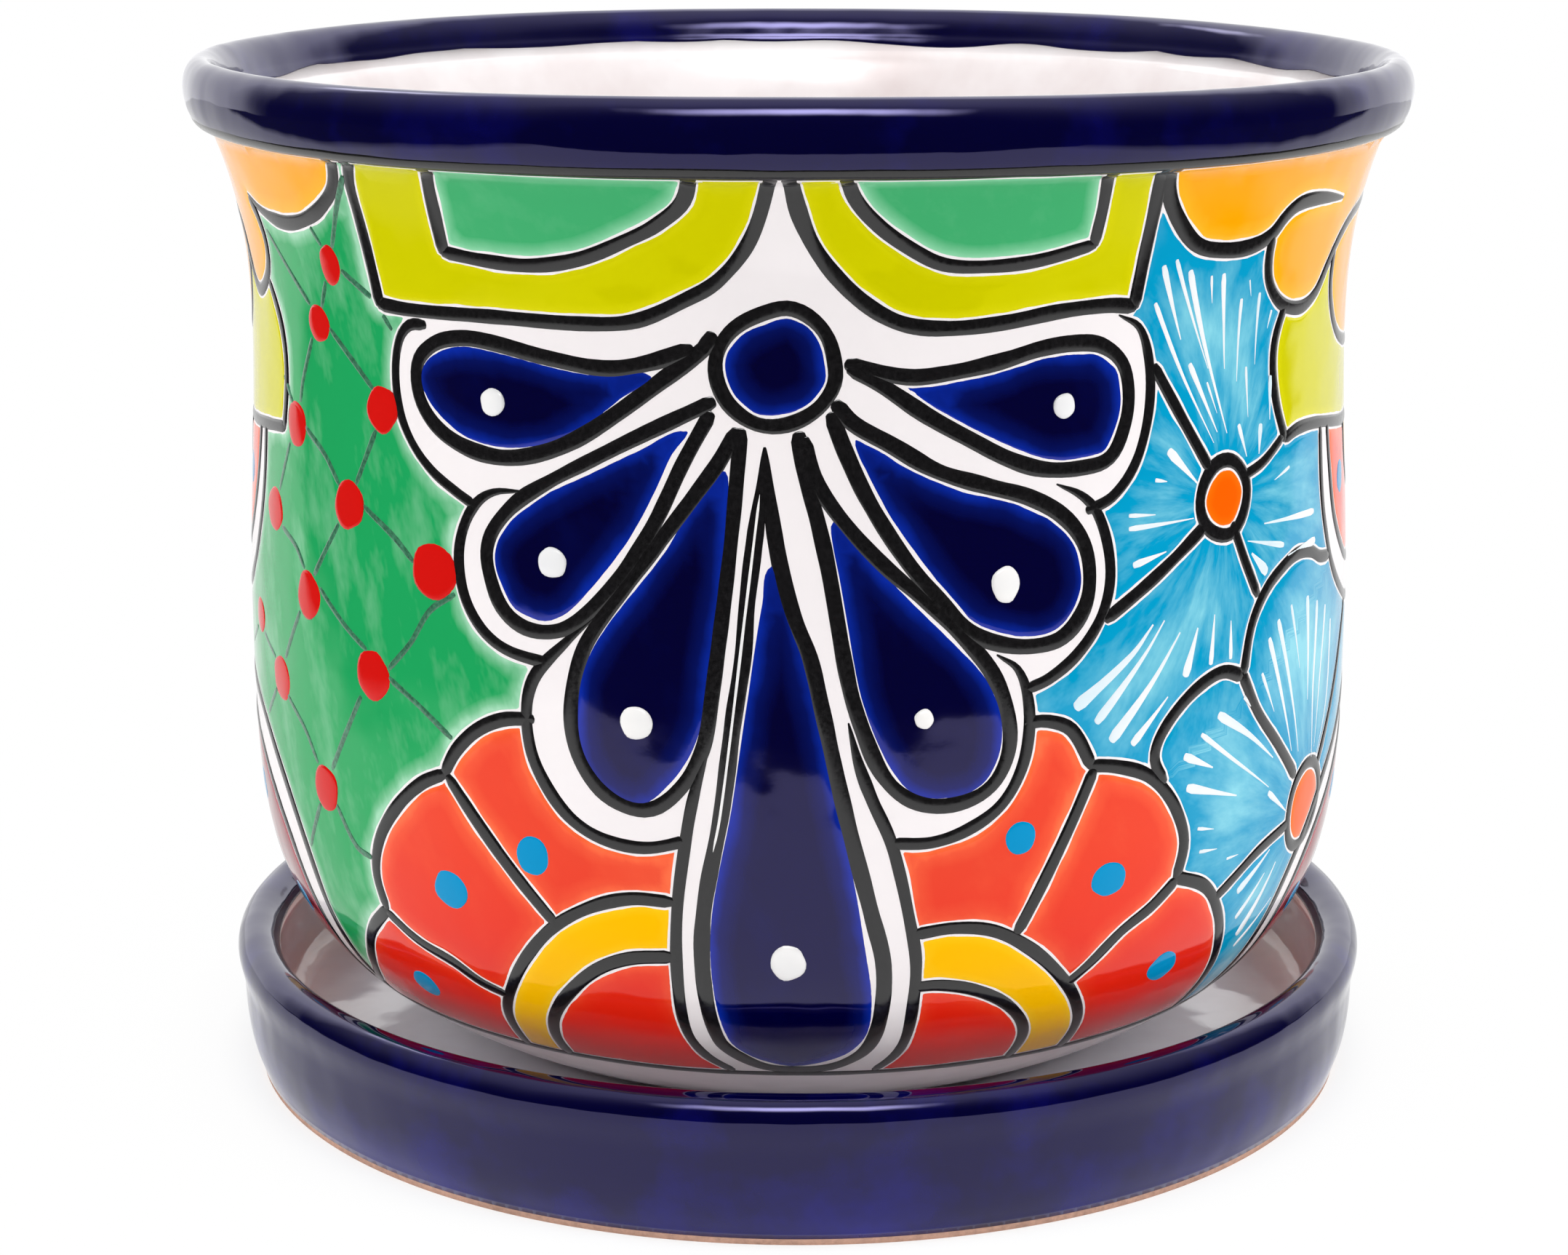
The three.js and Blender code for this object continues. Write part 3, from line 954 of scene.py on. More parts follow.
def drawn(stroke):
    """The stroke's line, its left-hand normals and its half width at each point.

    The width wanders a little with the pressure of the hand, and open ends are shaped as stroke.ends says.
    """
    line = smooth_line(stroke.points, stroke.ends == "ring")
    has_tips = stroke.ends not in ("ring", "flat")
    if has_tips:
        # A few more points at each tip, so that it comes out round
        lead = line[0] - line[1]
        tail = line[-1] - line[-2]
        tips = [0.04, 0.15, 0.33]
        cap = stroke.width / 2
        start = [line[0] + lead / np.linalg.norm(lead) * cap * (0.5 - t) for t in tips]
        end = [line[-1] + tail / np.linalg.norm(tail) * cap * (0.5 - t) for t in reversed(tips)]
        line = np.vstack([start, line[1:-1], end])
    along = np.gradient(line, axis=0)
    if stroke.ends == "ring":
        along = np.roll(line, -1, axis=0) - np.roll(line, 1, axis=0)
    along /= np.linalg.norm(along, axis=1)[:, None]
    normal = np.column_stack([-along[:, 1], along[:, 0]])
    gone = np.r_[0, np.cumsum(np.linalg.norm(np.diff(line, axis=0), axis=1))]
    press = [1 + 0.16 * noise.noise(Vector((x * 0.12, y * 0.12, stroke.width))) for x, y in line]
    half = stroke.width / 2 * np.array(press)
    if has_tips:
        for end, far in zip(stroke.ends, (gone, gone[-1] - gone)):
            if end == "o":
                half *= np.sqrt(1 - (1 - np.clip(far / (stroke.width / 2), 0, 1)) ** 2)
            elif end == "w":
                half *= 0.15 + 0.85 * far / gone[-1]
            else:
                reach = min(5 * stroke.width, gone[-1] / 2)
                half *= 0.12 + 0.88 * np.clip(far / reach, 0, 1) ** 0.7
    return line, normal, half


def bead(bm, stroke, low, high):
    """Lay a stroke down as a bead of paint, thickest along its middle"""
    line, normal, half = drawn(stroke)
    if stroke.ends == "ring":
        line, normal, half = (np.concatenate([a, a[:1]]) for a in (line, normal, half))
    made = bmesh.ops.create_grid(bm, x_segments=len(line) - 1, y_segments=6, size=1)
    for vert in made["verts"]:
        i = round((vert.co.x + 1) / 2 * (len(line) - 1))
        across = vert.co.y * math.pi / 2
        place = line[i] + normal[i] * half[i] * math.sin(across)
        crown = math.cos(across) * (half[i] * 2 / stroke.width) ** 0.5
        vert.co = (*place, low + (high - low) * crown)


def ragged(line, side, gap):
    """The hairline's width on one side of a line: the paint was laid on by hand, so it wanders"""
    return [gap * (1 + 0.8 * noise.noise(Vector((x * 0.2, y * 0.2, side)))) for x, y in line]


def outlines(stroke, gap):
    """The ground that a stroke and its white hairline take up, as closed loops"""
    line, normal, half = drawn(stroke)
    left, right = (line + side * normal * (half + ragged(line, side, gap))[:, None] for side in (1, -1))
    parts = [np.arange(len(line))]
    if stroke.ends == "ring":
        # A loop can't have a hole, so a ring is laid as two halves that overlap
        middle = len(line) // 2
        parts = [np.arange(middle + 2), np.r_[middle : len(line), 0, 1]]
    for part in parts:
        yield np.vstack([right[part], left[part][::-1]])


def cross(a, b):
    """The cross product of flat vectors"""
    return a[..., 0] * b[..., 1] - a[..., 1] * b[..., 0]


class Sleeve:
    """The flat drawing, cut up by its lines into cells that paint can fill.

    The loops are the sleeve's own edge, then the shapes whose insides are cells of their own, and then
    the ground that strokes take up. Each stroke is laid three times, half a turn apart, so that the
    drawing meets its repeat. What is left free is kept as triangles, with their edges shared inside a cell.
    """

    def __init__(self, lines, shapes, low, high, half_turn, gap):
        corners = [(-half_turn, low), (1.5 * half_turn, low), (1.5 * half_turn, high), (-half_turn, high)]
        loops = [np.array(corners)] + [smooth_line(shape, ring=True) for shape in shapes]
        paintable = set(range(len(loops)))
        for stroke in lines:
            for loop in outlines(stroke, gap):
                for shift in (-half_turn, 0, half_turn):
                    moved = loop + (shift, 0)
                    if moved[:, 0].min() < 1.4 * half_turn and moved[:, 0].max() > -0.9 * half_turn:
                        loops.append(moved)
        starts = np.cumsum([0] + [len(loop) for loop in loops])
        faces = []
        for loop, start in zip(loops, starts):
            order = list(range(start, start + len(loop)))
            turning = cross(loop, np.roll(loop, -1, axis=0)).sum()
            faces.append(order if turning > 0 else order[::-1])
        points = [Vector(p) for p in np.vstack(loops)]
        made = delaunay_2d_cdt(points, [], faces, 0, 1e-4, True)
        self.points = np.array([tuple(p) for p in made[0]])
        free = [(tuple(f), frozenset(ids)) for f, ids in zip(made[2], made[5])]
        free = [(face, ids) for face, ids in free if 0 in ids and ids <= paintable]
        self.free = [face for face, ids in free]
        self.corners = self.points[np.array(self.free)]
        self.sharing = {}
        for index, (face, ids) in enumerate(free):
            for edge in zip(face, face[1:] + face[:1]):
                self.sharing.setdefault((frozenset(edge), ids), []).append(index)
        self.ids = [ids for face, ids in free]

    def across(self, index):
        """Each edge of a triangle with the triangles of the same cell that it belongs to"""
        face = self.free[index]
        for edge in zip(face, face[1:] + face[:1]):
            yield edge, self.sharing[frozenset(edge), self.ids[index]]

    def cell(self, seed):
        """The directed edges round the cell that holds the seed, with the cell on their left"""
        a, b, c = (self.corners[:, i] for i in range(3))
        sides = [cross(q - p, np.array(seed) - p) >= 0 for p, q in ((a, b), (b, c), (c, a))]
        holding = np.nonzero(sides[0] & sides[1] & sides[2])[0]
        if len(holding) == 0:
            raise ValueError(f"the seed {seed} lies on a line")
        found, queue = set(), [int(holding[0])]
        while queue:
            index = queue.pop()
            if index not in found:
                found.add(index)
                queue += [other for _, both in self.across(index) for other in both]
        return [edge for index in found for edge, both in self.across(index) if len(both) == 1]


def nearest(points, starts, ends):
    """How far each point is from the nearest edge"""
    along = ends - starts
    span = np.maximum((along**2).sum(1), 1e-12)
    best = []
    for block in np.array_split(points, max(1, len(points) * len(starts) // 2_000_000 + 1)):
        off = block[:, None] - starts[None]
        share = np.clip((off * along[None]).sum(2) / span, 0, 1)
        best.append(np.linalg.norm(off - share[..., None] * along[None], axis=2).min(1))
    return np.concatenate(best)


def inside(points, starts, ends):
    """Which points lie inside the edges: a line to the right crosses them an odd number of times"""
    result = []
    for block in np.array_split(points, max(1, len(points) * len(starts) // 2_000_000 + 1)):
        x, y = block[:, 0:1], block[:, 1:2]
        crossing = (starts[:, 1] > y) != (ends[:, 1] > y)
        rise = np.where(ends[:, 1] == starts[:, 1], 1, ends[:, 1] - starts[:, 1])
        at = starts[:, 0] + (y - starts[:, 1]) / rise * (ends[:, 0] - starts[:, 0])
        result.append((crossing & (at > x)).sum(1) % 2 == 1)
    return np.concatenate(result)


def fill_cell(bm, sleeve, seed, lift, brushed):
    """Fill a cell with paint that rises from a thin edge to an even thickness.

    Its points are those of the cell's edge, two rows that follow them inside, and a grid in the middle.
    """
    edges = sleeve.cell(seed)
    used = sorted({index for edge in edges for index in edge})
    where = {index: i for i, index in enumerate(used)}
    edges = np.array([(where[a], where[b]) for a, b in edges])
    rim = sleeve.points[used]
    starts, ends = rim[edges[:, 0]], rim[edges[:, 1]]
    along = ends - starts
    along /= np.maximum(np.linalg.norm(along, axis=1), 1e-9)[:, None]
    inward = np.zeros_like(rim)
    for column in (0, 1):
        np.add.at(inward, edges[:, column], np.column_stack([-along[:, 1], along[:, 0]]))
    inward /= np.maximum(np.linalg.norm(inward, axis=1), 1e-9)[:, None]
    layers = [rim]
    for depth in (0.35, PAINT_EDGE):
        ring = rim + inward * depth
        ring = ring[inside(ring, starts, ends)]
        layers.append(ring[nearest(ring, starts, ends) > 0.9 * depth])
    low, high = rim.min(0), rim.max(0)
    grid = np.stack(np.meshgrid(*[np.arange(a, b, FILL_STEP) for a, b in zip(low, high)]), -1)
    grid = grid.reshape(-1, 2)
    grid = grid[inside(grid, starts, ends)]
    if len(grid):
        layers.append(grid[nearest(grid, starts, ends) > 2.0])
    points = np.vstack(layers)
    made = delaunay_2d_cdt([Vector(p) for p in points], edges.tolist(), [], 0, 1e-5, True)
    points = np.array([tuple(p) for p in made[0]])
    faces = np.array([tuple(face) for face in made[2]])
    faces = faces[inside(points[faces].mean(1), starts, ends)]
    depth = nearest(points, starts, ends)
    depth[depth < 1e-3] = 0
    rise = lift * (1 - (1 - np.clip(depth / PAINT_EDGE, 0, 1)) ** 2) - SUNK
    edge_layer = bm.verts.layers.float["edge_mm"]
    brush_layer = bm.verts.layers.float_vector["brush_mm"]
    verts = {}
    for index in sorted(set(faces.ravel())):
        verts[index] = bm.verts.new((*points[index], rise[index]))
        verts[index][edge_layer] = depth[index]
        verts[index][brush_layer] = brushed(*points[index])
    for face in faces:
        bm.faces.new([verts[index] for index in face])


def upright(x, y):
    """Brush marks that run up the wall, leaning a little"""
    return (x + 0.25 * y, y, 0)


def round_wheels(x, y):
    """Brush marks that run out from the nearer wheel flower"""
    middle = min(WHEEL_DISCS, key=lambda disc: math.dist(disc, (x, y)))
    turn = math.atan2(y - middle[1], x - middle[0])
    return (16 * math.cos(turn), math.dist(middle, (x, y)), 16 * math.sin(turn))


def dome(bm, x, y, width, height, base, rise):
    """A drop of thick paint: the upper half of a flattened ball"""
    made = bmesh.ops.create_uvsphere(bm, u_segments=24, v_segments=12, radius=1)
    low = [vert for vert in made["verts"] if vert.co.z < -0.01]
    bmesh.ops.delete(bm, geom=low, context="VERTS")
    for vert in made["verts"]:
        if not vert.is_valid:
            continue
        uneven = 1 + 0.12 * noise.noise(vert.co * 1.2 + Vector((x, y, 0)))
        flat = (x + vert.co.x * width * uneven, y + vert.co.y * height * uneven)
        vert.co = (*flat, base + rise * vert.co.z**0.8 if vert.co.z > 0 else base)


class Brush:
    """Puts the flat drawing on the wall: its cells, its lines and its dots"""

    def __init__(self, pot, paint, colours):
        self.pot = pot
        self.paint = paint
        self.colours = colours
        under_rim = pot_roll(pot, -90, -15)
        self.path = tidy_line([tuple(p) for p in pot_outside(pot)] + under_rim)
        self.normals = outward(self.path)
        self.along = np.r_[0, np.cumsum(np.linalg.norm(np.diff(self.path, axis=0), axis=1))]
        self.half_turn = math.pi * self.paint.girth_radius
        self.line_glaze = line_pigment("outline_pigment", self.colours.line)
        self.borders = [self.border(self.paint.rim_line, 2.8), self.border(self.paint.foot_line, 2.2)]
        lines = FAN + DRAPES + WHEELS + SIDES + LOW_FLOWERS + self.borders
        reach = (self.paint.foot_line, self.paint.rim_line)
        self.sleeve = Sleeve(lines, FAN_PETALS, *reach, self.half_turn, self.paint.hairline)

    def wrap(self, bm):
        """Bend the flat drawing round the wall"""
        flat = np.array([vert.co for vert in bm.verts])
        turn = flat[:, 0] / self.paint.girth_radius
        radius, height = (np.interp(flat[:, 1], self.along, self.path[:, i]) for i in (0, 1))
        out, up = (np.interp(flat[:, 1], self.along, self.normals[:, i]) for i in (0, 1))
        reach = radius + flat[:, 2] * out
        places = np.column_stack(
            [reach * np.sin(turn), -reach * np.cos(turn), height + flat[:, 2] * up]
        )
        for vert, place in zip(bm.verts, places):
            vert.co = place
        bmesh.ops.remove_doubles(bm, verts=bm.verts, dist=0.002)

    def repeat(self, bm):
        """Copy what is on the one half of the wall to the other half"""
        geom = list(bm.verts) + list(bm.edges) + list(bm.faces)
        made = bmesh.ops.duplicate(bm, geom=geom)
        verts = [v for v in made["geom"] if isinstance(v, bmesh.types.BMVert)]
        bmesh.ops.rotate(bm, verts=verts, cent=(0, 0, 0), matrix=Matrix.Rotation(math.pi, 3, "Z"))

    def finish(self, name, bm, material):
        """A piece of the painting, wrapped and repeated"""
        self.wrap(bm)
        self.repeat(bm)
        return finish_piece(name, bm, material, "pot", "painted_glaze", self.pot.height)

    def lines(self, name, strokes):
        """Outlines as beads of black pigment, which mark the cells"""
        bm = bmesh.new()
        for stroke in strokes:
            bead(bm, stroke, -SUNK, self.paint.line)
        return self.finish(name, bm, self.line_glaze)

    def fill(self, name, seeds, material, brushed=upright):
        """Paint in the cells that hold the seeds"""
        bm = bmesh.new()
        bm.verts.layers.float.new("edge_mm")
        bm.verts.layers.float_vector.new("brush_mm")
        for seed in seeds:
            fill_cell(bm, self.sleeve, seed, self.paint.paint, brushed)
        return self.finish(name, bm, material)

    def over(self, name, strokes, material, rise):
        """Strokes laid on top of fired paint"""
        bm = bmesh.new()
        for stroke in strokes:
            bead(bm, stroke, self.paint.paint - STROKE_SUNK, self.paint.paint + rise)
        return self.finish(name, bm, material)

    def dots(self, name, dots, material, rise):
        """Drops of thick paint"""
        bm = bmesh.new()
        for x, y, width, height in dots:
            dome(bm, x, y, width, height, self.paint.paint - DOT_SUNK, rise)
        return self.finish(name, bm, material)

    def border(self, height, width):
        """A black line that runs all the way round"""
        around = np.linspace(-self.half_turn / 2, self.half_turn / 2, 60)
        points = [(x, height + 0.25 * noise.noise(Vector((x * 0.05, height, 0)))) for x in around]
        points[-1] = (points[-1][0], points[0][1])
        return Stroke(width, "flat", points)


BRUSHES = {}


def brush(scene):
    """The brush for the sizes that are set, made once and kept for all the steps that paint"""
    sizes = (in_mm(scene.pot_shape), in_mm(scene.paint_sizes))
    if sizes not in BRUSHES:
        BRUSHES[sizes] = Brush(*sizes, scene.glaze_colours)
    return BRUSHES[sizes]


class FLOWERPOT_OT_fans(bpy.types.Operator):
    """Paint the fans of cobalt petals with their black outlines and white dots"""

    bl_idname = "flowerpot.fans"
    bl_label = "Fans of petals"

    def execute(self, context):
        hand = brush(context.scene)
        edge = to_linear("#06289e")
        blue = pooled_glaze(
            "cobalt_petal_glaze", hand.colours.petal, edge, 5.5, mottle=0.8, streak=(16, 26), gleam=0,
            middle=0.78, cobalt=True,
        )
        white = white_glaze("raised_white", to_linear("#f4f2f0"), to_linear("#e8e8ea"))
        hand.lines("fan_outlines", FAN)
        hand.fill("fan_petals", FAN_MIDDLES, blue)
        hand.dots("fan_dots", FAN_DOTS, white, 0.9)
        hand.over("fan_scratch", FAN_SCRATCH, white, 0.16)
        return {"FINISHED"}


class FLOWERPOT_OT_drapes(bpy.types.Operator):
    """Paint the drapes that hang from the rim, and the two black lines round the pot"""

    bl_idname = "flowerpot.drapes"
    bl_label = "Drapes and border lines"

    def execute(self, context):
        hand = brush(context.scene)
        colours = hand.colours
        pale = to_linear("#d8d20e")
        pale_green = to_linear("#8ed6aa")
        band = pooled_glaze("chartreuse_glaze", colours.chartreuse, pale, 2.0, mottle=0.5, gleam=1)
        oval = pooled_glaze("green_glaze", colours.green, pale_green, 2.8, mottle=0.5, gleam=0.3)
        hand.lines("drape_outlines", DRAPES)
        hand.fill("drape_bands", DRAPE_BANDS, band)
        hand.fill("drape_ovals", DRAPE_OVALS, oval)
        hand.lines("border_lines", hand.borders)
        return {"FINISHED"}


class FLOWERPOT_OT_wheels(bpy.types.Operator):
    """Paint the wheel flowers with their combed white strokes on sky blue"""

    bl_idname = "flowerpot.wheels"
    bl_label = "Wheel flowers"

    def execute(self, context):
        hand = brush(context.scene)
        washed = to_linear("#84d0e0")
        sky = pooled_glaze(
            "sky_blue_glaze", washed, hand.colours.sky, 17.0, mottle=1.9, streak=(2.6, 14), gleam=0.5,
            middle=0.35,
        )
        rubbed = to_linear("#ff740c")
        disc = pooled_glaze("disc_glaze", hand.colours.disc, rubbed, 2.0, mottle=0.2, gleam=1)
        white = white_glaze("comb_white", to_linear("#eef0f2"), to_linear("#c9e4ef"))
        hand.lines("wheel_outlines", WHEELS)
        hand.fill("wheel_grounds", SKY_CELLS, sky, round_wheels)
        hand.fill("wheel_discs", WHEEL_DISCS, disc)
        combs = [Stroke(width, "ow", points) for width, *points in COMBS]
        hand.over("comb_strokes", combs, white, 0.08)
        return {"FINISHED"}


class FLOWERPOT_OT_sides(bpy.types.Operator):
    """Paint the orange petals, blocks and round shields at the sides"""

    bl_idname = "flowerpot.sides"
    bl_label = "Side motifs"

    def execute(self, context):
        hand = brush(context.scene)
        colours = hand.colours
        orange = pooled_glaze("orange_glaze", colours.orange, to_linear("#ffb61c"), 3.5, mottle=0.4, gleam=1)
        block = pooled_glaze("side_chartreuse_glaze", colours.chartreuse, to_linear("#d8d20e"), 2.0)
        tomato = pooled_glaze("side_tomato_glaze", colours.tomato, to_linear("#ff6a3c"), 4.5, mottle=0.9)
        yellow = pooled_glaze("side_yellow_glaze", colours.yellow, to_linear("#ffc420"), 2.0, mottle=0.3)
        maroon = pooled_glaze("maroon_glaze", colours.maroon, to_linear("#a83244"), 3.0, mottle=0.4)
        teal = pooled_glaze("side_teal_glaze", colours.teal, colours.teal, 3.0, mottle=0.3)
        hand.lines("side_outlines", SIDES)
        hand.fill("side_orange_petals", SIDE_ORANGE, orange)
        hand.fill("side_blocks", SIDE_BLOCKS, block)
        hand.fill("side_tomato_fields", SIDE_TOMATO, tomato)
        hand.fill("side_yellow_fields", SIDE_YELLOW, yellow)
        hand.fill("side_shields", SIDE_MAROON, maroon)
        hand.dots("side_dots", SIDE_DOTS, teal, 0.18)
        return {"FINISHED"}


class FLOWERPOT_OT_low_flowers(bpy.types.Operator):
    """Paint the low red flowers beside each fan"""

    bl_idname = "flowerpot.low_flowers"
    bl_label = "Low flowers"

    def execute(self, context):
        hand = brush(context.scene)
        colours = hand.colours
        tomato = pooled_glaze(
            "tomato_glaze", colours.tomato, to_linear("#ff7040"), 4.5, mottle=1.0, streak=(9, 15),
            gleam=0.45, middle=0.7, run=to_linear("#e81608"),
        )
        pale = to_linear("#ffc81c")
        yellow = pooled_glaze("yellow_glaze", colours.yellow, pale, 2.0, mottle=0.3, gleam=1)
        teal = pooled_glaze("teal_glaze", colours.teal, colours.teal, 3.0, mottle=0.3)
        hand.lines("low_flower_outlines", LOW_FLOWERS)
        hand.fill("low_flower_petals", LOW_TOMATO, tomato)
        hand.fill("low_flower_bows", LOW_YELLOW, yellow)
        hand.dots("low_flower_dots", LOW_DOTS, teal, 0.18)
        return {"FINISHED"}


class FLOWERPOT_OT_lattice(bpy.types.Operator):
    """Paint the green ground with its lattice and red berries"""

    bl_idname = "flowerpot.lattice"
    bl_label = "Lattice"

    def execute(self, context):
        hand = brush(context.scene)
        colours = hand.colours
        pale = to_linear("#a2d8b6")
        green = pooled_glaze(
            "lattice_green_glaze", colours.lattice, pale, 3.2, mottle=2.3, streak=(11, 26), gleam=0.6,
            middle=0.55,
        )
        berry = pooled_glaze("berry_glaze", colours.berry, colours.berry, 3.0, mottle=0.2)
        grey_green = line_pigment("lattice_pigment", to_linear("#2b5a42"))
        strokes = [Stroke(1.4, "oo", points) for points in LATTICE]
        hand.fill("lattice_ground", LATTICE_CELLS, green)
        hand.over("lattice_lines", strokes, grey_green, 0.05)
        hand.dots("lattice_berries", BERRIES, berry, 0.3)
        return {"FINISHED"}


# The clay and its plain glazes

class FLOWERPOT_OT_pot_body(bpy.types.Operator):
    """Spin the clay pot with its white, cream and cobalt glaze coats"""

    bl_idname = "flowerpot.pot_body"
    bl_label = "Pot body"

    # The white ground goes on over the first points of the roll, up to the black line there
    roll_painted = 6
    # The blue's lower edge inside: how far it wanders in millimetres, and how quickly round the rim
    edge_wander = 2.4
    edge_waves = 2.8

    def execute(self, context):
        pot = in_mm(context.scene.pot_shape)
        paint = in_mm(context.scene.paint_sizes)
        colours = context.scene.glaze_colours
        outside = pot_outside(pot)
        rim = tidy_line(pot_roll(pot))
        floor = pot.foot_ring_depth + pot.base
        inside = down_inside(outside, pot.wall, floor, pot.fillet, pot.drain_radius + 2)
        ring = pot.foot_radius - pot.foot_ring_width
        inside = np.vstack([rim[-1:], inside])
        glazed = np.vstack([outside[:-1], rim[:-1], inside])
        under = glazed - outward(glazed) * paint.coat * 0.7
        bare = [
            (pot.drain_radius, floor - 1),
            (pot.drain_radius, pot.foot_ring_depth),
            (ring - pot.foot_ring_depth, pot.foot_ring_depth),
            (ring, 0),
            (pot.foot_radius - 0.8, 0),
        ]
        clay = spun(np.vstack([under[1:], [(pot.drain_radius, floor - 0.2)], bare]))
        painted = np.vstack([outside[:-1], rim[: self.roll_painted]])
        white = spun(coat(painted, paint.coat))
        cream = spun(coat(inside, paint.coat))
        rim_line = self.rim_coat(paint, rim[self.roll_painted - 1 :], inside)
        cobalt = spun(coat(rim_line, paint.coat))
        self.wavy_edge(cobalt, rim[-1], inside[1])
        cream_glaze = white_glaze("cream_glaze", colours.cream, to_linear("#e9dedd"))
        ground = white_glaze("tin_white_glaze", colours.ground, shade(colours.ground, 0.97))
        rim_blue = cobalt_glaze("cobalt_rim_glaze", colours.rim, to_linear("#06065e"), 2)
        pieces = [
            ("pot_clay_body", clay, bare_clay("fired_clay", colours.clay)),
            ("pot_white_glaze", white, ground),
            ("pot_inner_glaze", cream, cream_glaze),
            ("pot_rim_glaze", cobalt, rim_blue),
        ]
        made = [finish_piece(*piece, "pot", "painted_glaze", pot.height) for piece in pieces]
        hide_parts("flower_pot")
        return {"FINISHED"}

    def rim_coat(self, paint, rim, inside):
        """The rim's blue: over the roll and on down over the cream glaze inside"""
        down = inside[1] - rim[-1]
        down *= paint.rim_dip / np.linalg.norm(down)
        proud = (-0.15, 0)
        return np.vstack([rim[:-1], rim[-1] + proud, rim[-1] + down * 0.7 + proud, rim[-1] + down])

    def wavy_edge(self, bm, edge, below):
        """The lower edge inside was laid on with a full brush, so it wanders up to edge_wander down"""
        slope = (edge[0] - below[0]) / (edge[1] - below[1])
        for vert in bm.verts:
            radius = math.hypot(vert.co.x, vert.co.y)
            if vert.co.z > edge[1] - 0.2 or radius > edge[0] + 1:
                continue
            turn = math.atan2(vert.co.y, vert.co.x)
            around = Vector((math.cos(turn), math.sin(turn), 0)) * self.edge_waves + Vector((0, 0, 0.3))
            down = -self.edge_wander * abs(noise.fractal(around, 0.8, 2.0, 2))
            vert.co.z += down
            vert.co.xy *= 1 + slope * down / radius


class FLOWERPOT_OT_saucer_body(bpy.types.Operator):
    """Spin the clay saucer with its cobalt and cream glaze coats"""

    bl_idname = "flowerpot.saucer_body"
    bl_label = "Saucer"

    # The glaze fills the corner under the roll, from this far below it over its first points, in mm
    fillet_drop = 3.5
    fillet_handle = 2
    fillet_points = 3

    def execute(self, context):
        saucer = in_mm(context.scene.saucer_shape)
        paint = in_mm(context.scene.paint_sizes)
        colours = context.scene.glaze_colours
        rim = roll(saucer.radius, saucer.height, saucer.roll_width, saucer.roll_height, SAUCER_LEAN)
        middle = saucer.height - saucer.roll_height / 2
        rim = tidy_line([p for p in rim if p[1] > middle or p[0] > saucer.wall_radius])
        neck, rim = rim[0][1], rim[self.fillet_points :]
        outside = self.outside(saucer, neck, rim)
        wall_line = tidy_line([(saucer.wall_radius, z) for z in np.arange(0, neck, TURNED_STEP)])
        inside = down_inside(wall_line, saucer.wall, saucer.floor, saucer.fillet, 0)
        inner_edge = (saucer.radius - saucer.roll_width, rim[-1][1])
        inside = tidy_line([inner_edge] + [tuple(p) for p in inside])
        glazed = tidy_line(np.vstack([outside, rim, inside[1:]]))
        under = glazed - outward(glazed) * paint.coat * 0.7
        under[-1] = (0, saucer.floor - paint.coat * 0.7)
        clay = spun(np.vstack([[(0, 0), (saucer.base_radius - 0.6, 0)], under]))
        low = [tuple(p) for p in outside if p[1] > saucer.bare_edge]
        cobalt_line = tidy_line(low + [tuple(p) for p in rim])
        cobalt = spun(coat(cobalt_line, paint.coat))
        cream = spun(coat(inside, paint.coat))
        blue = cobalt_glaze("cobalt_saucer_glaze", colours.rim, to_linear("#0a0a6c"), 17)
        cream_glaze = white_glaze("cream_saucer_glaze", to_linear("#f5f5fa"), to_linear("#e9e6ec"))
        pieces = [
            ("saucer_clay_body", clay, bare_clay("fired_clay_saucer", colours.clay)),
            ("saucer_outer_glaze", cobalt, blue),
            ("saucer_inner_glaze", cream, cream_glaze),
        ]
        made = [finish_piece(*piece, "saucer", "cobalt_glaze", saucer.height) for piece in pieces]
        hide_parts("saucer")
        return {"FINISHED"}

    def outside(self, saucer, neck, rim):
        """The outside from the table up the wall, and round the filled corner to the roll"""
        wall = saucer.wall_radius
        wall_top = (wall, neck - self.fillet_drop)
        tangent = (rim[0] - rim[1]) / np.linalg.norm(rim[0] - rim[1]) * self.fillet_handle
        low = curve(
            (saucer.base_radius, 0), (saucer.base_radius, saucer.base_turn),
            (wall, saucer.base_turn), wall_top,
        )
        corner = curve(
            wall_top, (wall, wall_top[1] + self.fillet_handle), tuple(rim[0] + tangent), tuple(rim[0])
        )
        return tidy_line(low + corner)


# The studio

